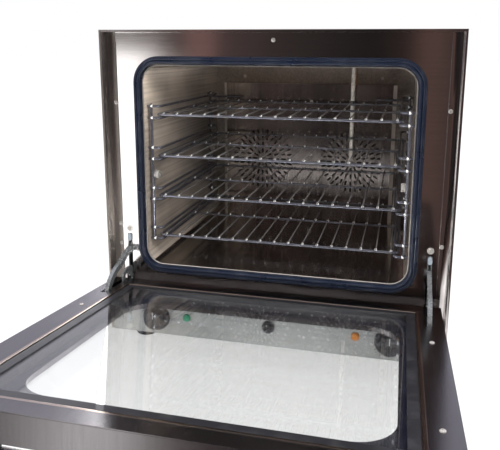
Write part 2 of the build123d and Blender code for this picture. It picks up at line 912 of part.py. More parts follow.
def indicator(side):
    """Indicator lamp with a domed lens."""
    with BuildPart() as lamp:
        with BuildSketch(facing_front(front_y)):
            with Locations((side * indicator_x, indicator_z)):
                Circle(indicator_radius)
        extrude(amount=indicator_reach)
        fillet(lamp.faces().sort_by(Axis.Y)[0].edges(), indicator_reach * 0.6)
        with BuildSketch(facing_front(front_y + indicator_body_depth)):
            with Locations((side * indicator_x, indicator_z)):
                Circle(indicator_body_radius)
        extrude(amount=indicator_body_depth)
    return lamp


save(indicator(-1), "green_lamp")
save(indicator(1), "orange_lamp")

cap_length = 10
cap_back_y = front_y - button_reach + cap_length
stem_length = 8
sleeve_back_y = cap_back_y + button_travel + 0.5
switch_depth = 16
with BuildPart() as steam_button:
    with BuildSketch(facing_front(cap_back_y)):
        with Locations((0, indicator_z)):
            Circle(button_radius)
    extrude(amount=cap_length)
    fillet(steam_button.faces().sort_by(Axis.Y)[0].edges(), 3)
    with BuildSketch(facing_front(cap_back_y + stem_length)):
        with Locations((0, indicator_z)):
            Circle(shaft_radius)
    extrude(amount=stem_length)
save(steam_button, "steam_button")

with BuildPart() as button_switch:
    with BuildSketch(facing_front(front_y)):
        with Locations((0, indicator_z)):
            Circle(bezel_radius)
    extrude(amount=bezel_reach)
    with BuildSketch(facing_front(sleeve_back_y + skin)):
        with Locations((0, indicator_z)):
            Circle(button_hole)
    extrude(amount=sleeve_back_y + skin - front_y)
    with BuildSketch(facing_front(sleeve_back_y)):
        with Locations((0, indicator_z)):
            Circle(button_radius + running_fit)
    extrude(amount=sleeve_back_y - front_y + bezel_reach, mode=Mode.SUBTRACT)
    with BuildSketch(facing_front(sleeve_back_y + skin + switch_depth)):
        with Locations((0, indicator_z)):
            RectangleRounded(2 * bezel_radius, 1.6 * bezel_radius, 2)
    extrude(amount=switch_depth)
    with BuildSketch(facing_front(sleeve_back_y + skin + switch_depth / 2)):
        with Locations((0, indicator_z)):
            Circle(shaft_radius + 2 * running_fit)
    extrude(amount=switch_depth / 2 + skin, mode=Mode.SUBTRACT)
save(button_switch, "button_switch")

with BuildPart() as frame_screws:
    screw_groups = (
        (edge_screws, face_y - skin, screw_head_radius),
        ([(0, top_screw_z)], face_y - skin, screw_head_radius),
        ([(0, bottom_screw_z)], face_y, screw_head_radius),
        (hinge_screws, face_y, hinge_screw_head_radius),
    )
    for places, seat_y, head_radius in screw_groups:
        with BuildSketch(facing_front(seat_y)):
            with Locations(*places):
                Circle(head_radius)
        extrude(amount=screw_head)
        with BuildSketch(facing_front(face_y + 4 * skin)):
            with Locations(*places):
                Circle(screw_radius)
        extrude(amount=face_y + 4 * skin - seat_y)
save(frame_screws, "frame_screws")

# Hinges, drawn about the pivot with Y and Z of the open door
def at_pivot(x):
    """Sketch plane across the hinge, with its origin on the pin."""
    return Plane(origin=(x, pivot_y, pivot_z), x_dir=(0, 1, 0), z_dir=(1, 0, 0))


frame_reach = door_gap + pivot_depth
claw_rivets = [(frame_reach + 6, 12), (frame_reach + 3.5, 25)]
claw_outline = [
    (-4.2, 0.6),
    (4.3, 0.6),
    (14, 24),
    (14, 34.5),
    (20, 38),
    (frame_reach, 22),
    (frame_reach + 1.6, 18.5),
    (frame_reach + 2, 7),
    (frame_reach + 11, 7),
    (frame_reach + 12, 18),
    (frame_reach + 8, 34),
    (frame_reach, 45),
    (24, 47),
    (7.4, 42),
    (4.5, 32),
    (6, 24),
]
tooth_places = [(40, 47.5), (34, 47.8), (28, 48.2), (21.5, 47.8), (15.5, 45.8), (9.5, 44)]


def hinge_claw(side):
    """Toothed hook fixed in the receiver. It carries the pin that the door turns on."""
    with BuildPart() as claw:
        with BuildSketch(at_pivot(side * hinge_x - claw_wall / 2)):
            Polygon(*claw_outline, align=None)
            Circle(claw_hub_radius)
            with Locations(*tooth_places):
                Circle(1.6, mode=Mode.SUBTRACT)
            Circle(pin_radius, mode=Mode.SUBTRACT)
        extrude(amount=claw_wall)
        with BuildSketch(at_pivot(side * hinge_x)):
            with Locations(*claw_rivets):
                Circle(rivet_radius)
        extrude(amount=receiver_inner, both=True)
    return claw


def hinge_receiver(side):
    """Channel behind the frame slot. The stay arm swings into it."""
    outer = receiver_inner + receiver_wall
    centre = side * hinge_x
    channel_back_y = face_y + skin + receiver_depth
    flange_bottom = panel_top + 4
    with BuildPart() as receiver:
        with BuildSketch(facing_front(channel_back_y + receiver_wall)):
            slab(
                centre - outer,
                centre + outer,
                receiver_bottom - receiver_wall,
                receiver_top + receiver_wall,
            )
        extrude(amount=receiver_depth + receiver_wall)
        with BuildSketch(facing_front(channel_back_y)):
            slab(centre - receiver_inner, centre + receiver_inner, receiver_bottom, receiver_top)
        extrude(amount=receiver_depth, mode=Mode.SUBTRACT)
        with BuildSketch(facing_front(face_y + skin + receiver_wall)):
            slab(
                centre - outer - receiver_flange,
                centre + outer + receiver_flange,
                flange_bottom,
                receiver_flange_top,
            )
            slab(
                centre - receiver_inner,
                centre + receiver_inner,
                flange_bottom,
                receiver_top,
                Mode.SUBTRACT,
            )
            with Locations((centre, hinge_screw_z)):
                Circle(screw_radius + screw_fit, mode=Mode.SUBTRACT)
        extrude(amount=receiver_wall)
    return receiver


# Outline of the arm's far end: outer edge, tip, then inner edge
arm_edge = arm_radius + arm_depth / 2
arm_core = arm_radius - arm_depth / 2
bend_angle = 95
root_angle = 160
outer_bend = (arm_edge * cos(radians(bend_angle)), arm_edge * sin(radians(bend_angle)))
inner_bend = (arm_core * cos(radians(bend_angle)), arm_core * sin(radians(bend_angle)))
rest_gap = 0.3
tip_top = catch_bottom - rest_gap - pivot_z
flare = [outer_bend, (20.2, 79), (38.5, 83.2), (41, tip_top), (50.5, tip_top)]
flare_back = [(51, 74), (23.5, 69.2), inner_bend]
web_edge = [(51 - 12.7, 81.5), (20.7, 77.3)]
plate_outline = [
    (-4.2, -1),
    (4.2, -1),
    (24, 30),
    (pivot_depth - skin - arm_web, 60),
    (pivot_depth - skin - arm_web, 102),
    (14, 102),
    (-3, 60),
]


def stay_arm(side):
    """Curved channel arm of the door. Its two cheeks run on either side of the claw."""
    centre = side * hinge_x
    cheek = arm_outer - arm_inner
    web_inner = arm_edge - arm_web
    web_bend = (web_inner * cos(radians(bend_angle)), web_inner * sin(radians(bend_angle)))
    with BuildPart() as arm:
        for cheek_x in (centre - arm_outer, centre + arm_inner):
            with BuildSketch(at_pivot(cheek_x)):
                Polygon(*flare, *flare_back, align=None)
                with BuildLine():
                    CenterArc((0, 0), arm_edge, bend_angle - 1, root_angle - bend_angle + 1)
                    CenterArc((0, 0), arm_core, bend_angle - 1, root_angle - bend_angle + 1)
                    for ray_angle in (bend_angle - 1, root_angle):
                        Line(
                            (arm_core * cos(radians(ray_angle)), arm_core * sin(radians(ray_angle))),
                            (arm_edge * cos(radians(ray_angle)), arm_edge * sin(radians(ray_angle))),
                        )
                make_face()
                Circle(arm_hub_radius)
                with Locations(Rot(Z=open_angle)):
                    Polygon(*plate_outline, align=None)
                Circle(pin_radius + pin_clearance, mode=Mode.SUBTRACT)
            extrude(amount=cheek)
        with BuildSketch(at_pivot(centre)):
            Polygon(*flare[:3], *web_edge, web_bend, align=None)
            with BuildLine():
                CenterArc((0, 0), arm_edge, bend_angle - 1, root_angle - bend_angle + 1)
                CenterArc((0, 0), web_inner, bend_angle - 1, root_angle - bend_angle + 1)
                for ray_angle in (bend_angle - 1, root_angle):
                    Line(
                        (web_inner * cos(radians(ray_angle)), web_inner * sin(radians(ray_angle))),
                        (arm_edge * cos(radians(ray_angle)), arm_edge * sin(radians(ray_angle))),
                    )
            make_face()
            slab(44, 48, 82, 86)
        extrude(amount=arm_outer, both=True)
        with BuildSketch(in_door(skin)):
            slab(centre - 12, centre + 12, pivot_z + 75, pivot_z + 152)
            with Locations((side * flange_screw_x, flange_screw_heights[0])):
                Circle(screw_radius + screw_fit, mode=Mode.SUBTRACT)
        extrude(amount=arm_web)
    return arm


for name, side in sides.items():
    save(hinge_claw(side), f"hinge_claw_{name}")
    save(hinge_receiver(side), f"hinge_receiver_{name}")
    save(stay_arm(side), f"stay_arm_{name}")

pin_half = arm_outer + rest_gap
with BuildPart() as hinge_pins:
    for side in sides.values():
        with BuildSketch(at_pivot(side * hinge_x)):
            Circle(pin_radius)
        extrude(amount=pin_half + pin_head, both=True)
        for head_x in (-pin_half - pin_head, pin_half):
            with BuildSketch(at_pivot(side * hinge_x + head_x)):
                Circle(pin_head_radius)
            extrude(amount=pin_head)
save(hinge_pins, "hinge_pins")

with BuildPart() as stay_catches:
    for side in sides.values():
        with BuildSketch(facing_front(face_y + catch_back)):
            with Locations((side * hinge_x, catch_bottom + catch_height / 2)):
                RectangleRounded(catch_width, catch_height, catch_width * 0.45)
        extrude(amount=catch_back + catch_front)
        with Locations((side * hinge_x, face_y + catch_back / 2, catch_bottom + catch_height / 2)):
            Cylinder(stud_radius, 2 * receiver_inner, rotation=(0, 90, 0))
save(stay_catches, "stay_catches")

# Door
glazing_mid = (glazing_bottom + glazing_top) / 2
glazing_height = glazing_top - glazing_bottom
window_half_width = glazing_half_width - border_side
window_bottom = glazing_bottom + border_bottom
window_top = glazing_top - border_top
window_mid = (window_bottom + window_top) / 2
door_mid = door_bottom + door_height / 2
core_depth = door_thickness - skin


def glazing_outline(inset, mode=Mode.ADD):
    """Outline of the glazed opening, shrunk by an inset."""
    with Locations((0, glazing_mid)):
        Rectangle(2 * (glazing_half_width - inset), glazing_height - 2 * inset, mode=mode)


def door_outline(inset, mode=Mode.ADD):
    """Outline of the door, shrunk by an inset."""
    with Locations((0, door_mid)):
        Rectangle(door_width - 2 * inset, door_height - 2 * inset, mode=mode)


def window_outline(offset, mode=Mode.ADD):
    """Rounded outline of the window in the outer skin, grown by an offset."""
    with Locations((0, window_mid)):
        RectangleRounded(
            2 * (window_half_width + offset),
            window_top - window_bottom + 2 * offset,
            window_corner + offset,
            mode=mode,
        )


with BuildPart() as door_inner_frame:
    with BuildSketch(in_door(0)):
        door_outline(0)
        glazing_outline(-trim_width, Mode.SUBTRACT)
        for side in sides.values():
            slab(
                side * hinge_x - door_slot_width / 2,
                side * hinge_x + door_slot_width / 2,
                door_slot_bottom,
                door_slot_top,
                Mode.SUBTRACT,
            )
        with Locations(*flange_screws):
            Circle(screw_radius + screw_fit, mode=Mode.SUBTRACT)
    extrude(amount=skin)
save(door_inner_frame, "door_inner_frame")

with BuildPart() as door_outer_skin:
    with BuildSketch(in_door(skin)):
        door_outline(0)
        door_outline(skin, Mode.SUBTRACT)
    extrude(amount=core_depth - skin)
    with BuildSketch(in_door(core_depth)):
        door_outline(0)
        window_outline(0, Mode.SUBTRACT)
    extrude(amount=skin)
    with BuildSketch(in_door(outer_glass_depth + glass_wall)):
        window_outline(skin)
        window_outline(0, Mode.SUBTRACT)
    extrude(amount=core_depth - outer_glass_depth - glass_wall)
save(door_outer_skin, "door_outer_skin")

with BuildPart() as door_inner_glass:
    with BuildSketch(in_door(glass_inset)):
        glazing_outline(glass_inset)
    extrude(amount=glass_wall)
save(door_inner_glass, "door_inner_glass")

with BuildPart() as door_outer_glass:
    with BuildSketch(in_door(outer_glass_depth)):
        glazing_outline(-skin)
    extrude(amount=glass_wall)
save(door_outer_glass, "door_outer_glass")

with BuildPart() as door_glass_seal:
    with BuildSketch(in_door(glass_inset / 2)):
        glazing_outline(0)
        glazing_outline(seal_width, Mode.SUBTRACT)
    extrude(amount=glass_inset / 2)
    with BuildSketch(in_door(glass_inset)):
        glazing_outline(0)
        glazing_outline(glass_inset, Mode.SUBTRACT)
    extrude(amount=glass_wall)
save(door_glass_seal, "door_glass_seal")

with BuildPart() as door_trim:
    with BuildSketch(in_door(0)):
        glazing_outline(-trim_width)
        glazing_outline(0, Mode.SUBTRACT)
    extrude(amount=glass_inset)
    rolled_face = door_trim.faces().sort_by(Axis(door_face.origin, door_face.z_dir))[0]
    fillet(rolled_face.inner_wires()[0].edges(), glass_inset * 0.9)
    with BuildSketch(in_door(glass_inset)):
        glazing_outline(-skin)
        glazing_outline(0, Mode.SUBTRACT)
    extrude(amount=outer_glass_depth - glass_inset)
save(door_trim, "door_trim")

with BuildPart() as door_spacer:
    with BuildSketch(in_door(glass_inset + glass_wall)):
        glazing_outline(0)
        glazing_outline(seal_width - 2, Mode.SUBTRACT)
    extrude(amount=outer_glass_depth - glass_inset - glass_wall)
save(door_spacer, "door_spacer")

with BuildPart() as door_screws:
    with BuildSketch(in_door(-screw_head)):
        with Locations(*flange_screws):
            Circle(screw_head_radius)
    extrude(amount=screw_head)
    with BuildSketch(in_door(0)):
        with Locations(*flange_screws):
            Circle(screw_radius)
    extrude(amount=4 * skin)
save(door_screws, "door_screws")

handle_depth = door_thickness + handle_standoff
handle_z = door_top - handle_drop
handle_half_length = door_width / 2 - handle_inset
handle_post_x = handle_half_length - handle_overhang
with BuildPart() as handle_bar:
    with BuildSketch(beside_door(0)):
        with Locations((face_y - door_gap - handle_depth, handle_z)):
            Circle(handle_radius)
            Circle(handle_radius - handle_wall, mode=Mode.SUBTRACT)
    extrude(amount=handle_half_length - handle_wall, both=True)
    for end_x in (-handle_half_length, handle_half_length - handle_wall):
        with BuildSketch(beside_door(end_x)):
            with Locations((face_y - door_gap - handle_depth, handle_z)):
                Circle(handle_radius)
        extrude(amount=handle_wall)
save(handle_bar, "handle_bar")

with BuildPart() as handle_posts:
    with BuildSketch(in_door(door_thickness)):
        with Locations((-handle_post_x, handle_z), (handle_post_x, handle_z)):
            Circle(post_radius)
    extrude(amount=handle_standoff)
    with BuildSketch(beside_door(0)):
        with Locations((face_y - door_gap - handle_depth, handle_z)):
            Circle(handle_radius)
    extrude(amount=handle_half_length, both=True, mode=Mode.SUBTRACT)
save(handle_posts, "handle_posts")
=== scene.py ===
import json
from math import cos, pi, radians, sin

import bmesh
import bpy
from mathutils import Matrix, Vector

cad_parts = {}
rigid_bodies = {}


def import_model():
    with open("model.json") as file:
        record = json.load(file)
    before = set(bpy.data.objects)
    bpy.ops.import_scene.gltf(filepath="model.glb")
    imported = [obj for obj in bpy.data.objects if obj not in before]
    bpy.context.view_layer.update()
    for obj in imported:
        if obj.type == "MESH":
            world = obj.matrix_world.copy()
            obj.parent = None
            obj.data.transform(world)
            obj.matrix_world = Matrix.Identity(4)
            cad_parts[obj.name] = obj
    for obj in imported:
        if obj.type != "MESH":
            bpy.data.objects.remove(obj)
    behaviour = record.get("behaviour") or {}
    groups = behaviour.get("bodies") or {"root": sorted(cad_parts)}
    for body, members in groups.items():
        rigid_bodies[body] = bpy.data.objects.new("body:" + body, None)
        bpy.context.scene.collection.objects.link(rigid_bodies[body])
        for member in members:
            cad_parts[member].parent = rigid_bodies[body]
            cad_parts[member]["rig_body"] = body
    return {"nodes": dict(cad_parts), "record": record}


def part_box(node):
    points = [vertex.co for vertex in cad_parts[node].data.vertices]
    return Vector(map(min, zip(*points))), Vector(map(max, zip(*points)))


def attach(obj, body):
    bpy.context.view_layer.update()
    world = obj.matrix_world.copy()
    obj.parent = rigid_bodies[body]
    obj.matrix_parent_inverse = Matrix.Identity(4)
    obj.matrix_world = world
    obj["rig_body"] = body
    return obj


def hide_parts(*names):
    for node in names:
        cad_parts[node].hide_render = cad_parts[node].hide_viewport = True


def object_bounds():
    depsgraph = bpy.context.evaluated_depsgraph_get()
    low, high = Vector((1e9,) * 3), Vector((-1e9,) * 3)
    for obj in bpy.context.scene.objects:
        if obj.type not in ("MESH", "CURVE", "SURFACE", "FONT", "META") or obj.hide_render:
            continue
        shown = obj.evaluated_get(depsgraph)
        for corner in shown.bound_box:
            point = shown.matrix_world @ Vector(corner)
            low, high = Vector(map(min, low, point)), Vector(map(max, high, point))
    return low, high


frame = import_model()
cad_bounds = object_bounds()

scene = bpy.context.scene
nodes = frame["nodes"]
record = frame["record"]
door_hinge = next(joint for joint in record["behaviour"]["joints"] if joint["name"] == "door_hinge")

# Sizes and places in metres, unless another unit is given. Some follow from the frame.

CASE_HALF = cad_bounds[1][0]
CASE_TOP = cad_bounds[1][2]
FACE_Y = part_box("front_frame")[0].y
GUARD_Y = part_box("fan_guard")[0].y
WALL_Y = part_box("fan_guard")[1].y
GUARD_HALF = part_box("fan_guard")[1].x
GUARD_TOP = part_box("fan_guard")[1].z
PANEL_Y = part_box("control_panel")[0].y

# Mouth of the chamber
LINER_WALL = 0.001
MOUTH_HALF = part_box("cavity_liner")[1].x - LINER_WALL
MOUTH_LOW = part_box("cavity_liner")[0].z + LINER_WALL
MOUTH_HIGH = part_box("cavity_liner")[1].z - LINER_WALL
MOUTH_CORNER = 0.03
FLOOR_RISE = 0.012

# Door, closed, and the swing that brings it to rest
DOOR_Y = FACE_Y - 0.012
DOOR_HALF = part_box("door_outer_skin")[1].x
PIVOT = Vector(door_hinge["pos_m"])
OPEN_ANGLE = radians(door_hinge["range_deg"][1])
SWING = Matrix.Translation(PIVOT) @ Matrix.Rotation(OPEN_ANGLE, 4, "X") @ Matrix.Translation(-PIVOT)
PRINT_NEAR = 0.0238
PRINT_FAR = 0.0239
PRINT_EDGE = (0.2438, 0.1177, 0.5353, 0.0005)
PRINT_WINDOW = (0.221, 0.1425, 0.4865, 0.05)

# Gasket and rim, as outward and forward steps in millimetres
GASKET_PROFILE = (
    (1.5, 0), (1.5, 5.5), (2.1, 8.4), (3.4, 10.6), (5.0, 11.6), (6.6, 11.0), (7.5, 9.3), (8.2, 8.5),
    (9.0, 9.2), (10.1, 10.3), (11.4, 10.0), (12.2, 8.6), (12.8, 7.5), (13.5, 7.9), (14.4, 7.4),
    (15.1, 5.9), (15.5, 3.4), (15.5, 0),
)
RIM_PROFILE = ((-0.2, 0), (-0.2, 1.0), (0.1, 1.5), (0.6, 1.7), (1.1, 1.4), (1.35, 0.8), (1.35, 0))

# Screws and nuts
HEAD_RADIUS = 0.0036
HEAD_HEIGHT = 0.002
FRAME_SCREW_LIFT = 0.0012
EDGE_SCREW_X = CASE_HALF - 0.0162
EDGE_SCREW_LOW = 0.227
EDGE_SCREW_HIGH = CASE_TOP - 0.1237
EXTRA_SCREW_Z = 0.1905
TOP_SCREW_Z = CASE_TOP - 0.0161
BOTTOM_SCREW_Z = 0.115
HINGE_SCREW_X = CASE_HALF - 0.0331
HINGE_SCREW_Z = 0.2188
HINGE_HEAD_RADIUS = 0.004
HINGE_WASHER = 0.0058
DOOR_SCREW_X = DOOR_HALF - 0.0207
DOOR_SCREW_LEVELS = (0.2435, 0.480)
GUARD_SCREW_X = 0.0095
GUARD_SCREW_LEVELS = (0.186, 0.306, 0.426)
BACK_SCREW_X = GUARD_HALF - 0.0345
BACK_SCREW_Z = GUARD_TOP + 0.0122
NUT_X = MOUTH_HALF - 0.01
NUT_Z = 0.317
STUD_OFFSET = 0.0068
NUT_PROFILE = (
    (0.0085, 0), (0.0085, 0.0015), (0.0074, 0.0019), (0.0074, 0.0072), (0.0064, 0.0075),
    (0.003, 0.0075), (0.003, 0.0064),
)
NUT_RIBS = 20
RIB_DEPTH = 0.0007

# Wire shelves and their supports. Wires are given by their radius.
BAR = 0.0025
MIDDLE_BAR = 0.0022
THIN_WIRE = 0.0013
POST = 0.0028
BAR_RISE = 0.0053
THIN_RISE = 0.0035
THIN_OVERHANG = 0.0035
THIN_COUNT = 17
THIN_PITCH = 0.0252
WIRE_BEND = 0.008
BEAD = 0.0020
BEAD_REACH = 0.0022
BEAD_DROP = 0.0007
POST_BEAD = 0.0031
POST_BEAD_IN = 0.0045
POST_BEAD_OUT = 0.002
LEVEL_COUNT = 4
FIRST_LEVEL = MOUTH_LOW + 0.0422
LAST_LEVEL = MOUTH_HIGH - 0.0916
LEVEL_PITCH = (LAST_LEVEL - FIRST_LEVEL) / (LEVEL_COUNT - 1)
LEVELS = [FIRST_LEVEL + LEVEL_PITCH * number for number in range(LEVEL_COUNT)]
SHELF_HALF = MOUTH_HALF - 0.0162
SHELF_FRONT = FACE_Y + 0.020
SHELF_BACK = GUARD_Y - 0.031
SHELF_MIDDLE = (SHELF_FRONT + SHELF_BACK) / 2
SUPPORT_FRONT = FACE_Y + 0.015
SUPPORT_BACK = GUARD_Y - 0.014
RUNNER_X = MOUTH_HALF - 0.0227
RUNNER_GAP = 0.0205
ROD_END_X = MOUTH_HALF - 0.0005
POST_X = MOUTH_HALF - 0.0072
POST_LOW = FIRST_LEVEL - 0.005
POST_HIGH = LAST_LEVEL + 0.0255
TIE_X = POST_X - 0.0725
TIE_Z = LAST_LEVEL + 0.0142

# Knobs and dials
KNOB_X = CASE_HALF - 0.0905
KNOB_Z = 0.057
KNOB_GAP = 0.001
KNOB_PROFILE = (
    (0.025, 0), (0.025, 0.0032), (0.0235, 0.0055), (0.0195, 0.0062), (0.0190, 0.0075),
    (0.0178, 0.0180), (0.0165, 0.0196), (0.0100, 0.0200),
)
KNOB_FLUTES = 24
FLUTE_DEPTH = 0.0010
SHAFT_RADIUS = 0.003
SHAFT_LENGTH = 0.02
SHAFT_BACK = 0.0211
POINTER_SIZE = (0.0022, 0.0008, 0.0125)
POINTER_REACH = 0.0208
POINTER_RISE = 0.0088
POINTER_EDGE = 0.0003
TICK_SIZE = (0.0007, 0.00012, 0.0034)
TICK_REACH = 0.00008
TICK_RADIUS = 0.0288
TICK_ANGLES = (-150, -125, -100, -75, -50, 50, 75, 100, 125, 150)

OUTLINE_STEPS = 12


# Materials

def node(tree, kind, **values):
    """A shader node with its settings and socket values."""
    made = tree.nodes.new("ShaderNode" + kind)
    for key, value in values.items():
        if hasattr(made, key):
            setattr(made, key, value)
        else:
            made.inputs[key.replace("_", " ")].default_value = value
    return made


def link(tree, source, target):
    """Join two sockets."""
    tree.links.new(source, target)


def combine(tree, operation, first, second):
    """A number worked out from two sockets."""
    made = node(tree, "Math", operation=operation)
    link(tree, first, made.inputs[0])
    link(tree, second, made.inputs[1])
    return made.outputs[0]


def mix_shaders(tree, share, first, second):
    """The first shader, turning into the second as the share goes to 1."""
    mix = node(tree, "MixShader")
    link(tree, share, mix.inputs[0])
    link(tree, first, mix.inputs[1])
    link(tree, second, mix.inputs[2])
    return mix.outputs[0]


def material(name, color, metallic=0.0, roughness=0.5, **constants):
    """A material with one Principled shader, whose constants stand on its own sockets."""
    made = bpy.data.materials.new(name)
    made.use_nodes = True
    shader = made.node_tree.nodes["Principled BSDF"]
    shader.inputs["Base Color"].default_value = (*color, 1)
    shader.inputs["Metallic"].default_value = metallic
    shader.inputs["Roughness"].default_value = roughness
    for key, value in constants.items():
        shader.inputs[key.replace("_", " ")].default_value = value
    return made, made.node_tree, shader


def noise(tree, scale, stretch=(1, 1, 1), detail=4.0, rough=0.5):
    """Noise in the object's own metres, stretched by a factor on each axis."""
    place = node(tree, "TexCoord")
    stretched = node(tree, "Mapping", Scale=stretch)
    texture = node(tree, "TexNoise", Scale=scale, Detail=detail, Roughness=rough)
    link(tree, place.outputs["Object"], stretched.inputs["Vector"])
    link(tree, stretched.outputs["Vector"], texture.inputs["Vector"])
    return texture.outputs["Fac"]


def spread(tree, value, low, high, start=0.3, end=0.7):
    """A value mapped from a part of its range onto another range."""
    ranged = node(tree, "MapRange")
    ranged.inputs["From Min"].default_value = start
    ranged.inputs["From Max"].default_value = end
    ranged.inputs["To Min"].default_value = low
    ranged.inputs["To Max"].default_value = high
    link(tree, value, ranged.inputs["Value"])
    return ranged.outputs["Result"]


def shade(tree, value, dark, light):
    """A colour between two, by a value from 0 to 1."""
    mix = node(tree, "Mix", data_type="RGBA")
    mix.inputs[6].default_value = (*dark, 1)
    mix.inputs[7].default_value = (*light, 1)
    link(tree, value, mix.inputs[0])
    return mix.outputs[2]


def bump(tree, shader, value, distance, strength=1.0):
    """Small relief on a shader."""
    relief = node(tree, "Bump", Distance=distance, Strength=strength)
    link(tree, value, relief.inputs["Height"])
    link(tree, relief.outputs["Normal"], shader.inputs["Normal"])


# Grain, as marks a metre along each axis
ALONG_X = (30, 3000, 3000)
FINE_ALONG_X = (30, 3500, 3500)
ALONG_Y = (3000, 30, 3000)
ALONG_Z = (3000, 3000, 20)
ACROSS_X = (3000, 30, 30)
ACROSS_Z = (30, 30, 3000)
PLAIN = (30, 30, 30)
CAST = (800, 800, 800)


def steel(name, color, roughness, grain=ALONG_X, depth=0.000006, blotch=0.08, metallic=1.0):
    """Brushed sheet steel: fine grain and wide streaks along one axis, faint smears."""
    made, tree, shader = material(name, color, metallic, roughness)
    lines = noise(tree, 1.0, grain, 2.0, 0.6)
    streaks = noise(tree, 1.0, tuple(count / 12 for count in grain), 3.0)
    smear = noise(tree, 7.0)
    marks = spread(tree, combine(tree, "ADD", streaks, smear), 0, 1, 0.75, 1.25)
    dark = tuple(c * (1 - blotch) for c in color)
    link(tree, shade(tree, marks, dark, color), shader.inputs["Base Color"])
    fine = spread(tree, lines, -0.03, 0.03)
    broad = spread(tree, smear, roughness - 0.03, roughness + 0.03)
    link(tree, combine(tree, "ADD", fine, broad), shader.inputs["Roughness"])
    bump(tree, shader, lines, depth)
    return made


def painted_shade_below(made, dark, low, high):
    """Painted shade: darken a sheet steel below a height, as if its lower part were in shade."""
    tree = made.node_tree
    shader = tree.nodes["Principled BSDF"]
    sheen = shader.inputs["Base Color"].links[0].from_socket
    place = node(tree, "TexCoord")
    parts = node(tree, "SeparateXYZ")
    link(tree, place.outputs["Object"], parts.inputs[0])
    # Painted shade: multiply the steel's colour by a dark colour below the height.
    shade_below_mix = node(tree, "Mix", data_type="RGBA", blend_type="MULTIPLY")
    link(tree, spread(tree, parts.outputs["Z"], 1, 0, low, high), shade_below_mix.inputs[0])
    link(tree, sheen, shade_below_mix.inputs[6])
    shade_below_mix.inputs[7].default_value = (*dark, 1)
    link(tree, shade_below_mix.outputs[2], shader.inputs["Base Color"])
    return made


def chrome(name, color, roughness, tint, metallic=1.0):
    """Bright wire or screw with faint heat tint."""
    made, tree, shader = material(name, color, metallic, roughness)
    patches = noise(tree, 60.0, (1, 1, 1), 3.0)
    share = spread(tree, patches, 0, 0.55, 0.45, 0.75)
    link(tree, shade(tree, share, color, tint), shader.inputs["Base Color"])
    link(tree, spread(tree, patches, roughness, roughness + 0.12), shader.inputs["Roughness"])
    bump(tree, shader, noise(tree, 900.0, (1, 1, 1), 2.0), 0.00004, 0.5)
    return made


def galvanised(name, color, roughness, metallic=0.75):
    """Zinc-plated hinge parts with small bright and dull crystals."""
    made, tree, shader = material(name, color, metallic, roughness)
    place = node(tree, "TexCoord")
    cells = node(tree, "TexVoronoi", Scale=420.0)
    link(tree, place.outputs["Object"], cells.inputs["Vector"])
    dull = tuple(c * 0.55 for c in color)
    link(tree, shade(tree, cells.outputs["Distance"], color, dull), shader.inputs["Base Color"])
    worn = spread(tree, noise(tree, 120.0), roughness - 0.12, roughness + 0.15)
    link(tree, worn, shader.inputs["Roughness"])
    bump(tree, shader, noise(tree, 700.0), 0.00008, 0.7)
    return made


def plastic(name, color, roughness, grain=1800.0, **constants):
    """Moulded plastic, rubber or paint with a fine skin texture and faint wear."""
    made, tree, shader = material(name, color, 0.0, roughness, **constants)
    worn = tuple(min(1.0, c * 1.35 + 0.012) for c in color)
    wear = noise(tree, 45.0, (1, 1, 1), 5.0)
    link(tree, shade(tree, spread(tree, wear, 0, 1, 0.5, 0.8), color, worn), shader.inputs["Base Color"])
    link(tree, spread(tree, wear, roughness - 0.05, roughness + 0.1), shader.inputs["Roughness"])
    bump(tree, shader, noise(tree, grain, (1, 1, 1), 2.0), 0.00005, 0.5)
    return made


def lens(name, color, glow, strength):
    """Coloured lens of an indicator lamp, faintly lit."""
    return plastic(
        name, color, 0.12, 600.0, Coat_Weight=0.3, Emission_Color=(*glow, 1), Emission_Strength=strength
    )


def clear(name, color, ior=1.5, tint=(1, 1, 1)):
    """Clear glass that lets lamps light what is behind it."""
    made, tree, shader = material(name, color, 0.0, 0.0)
    shader.inputs["Transmission Weight"].default_value = 1.0
    shader.inputs["IOR"].default_value = ior
    shader.inputs["Specular Tint"].default_value = (*tint, 1)
    film = tuple(c * 0.985 for c in color)
    share = spread(tree, noise(tree, 5.0, (1, 1, 1), 2.0), 0, 1)
    link(tree, shade(tree, share, color, film), shader.inputs["Base Color"])
    path = node(tree, "LightPath")
    passing = combine(tree, "MAXIMUM", path.outputs["Is Shadow Ray"], path.outputs["Is Diffuse Ray"])
    opening = node(tree, "BsdfTransparent")
    opening.inputs["Color"].default_value = (*color, 1)
    mixed = mix_shaders(tree, passing, shader.outputs[0], opening.outputs[0])
    link(tree, mixed, tree.nodes["Material Output"].inputs["Surface"])
    return made


DOOR_GLASS = (0.985, 0.99, 0.995)
DOOR_GLASS_TINT = (0.90, 0.88, 1.0)

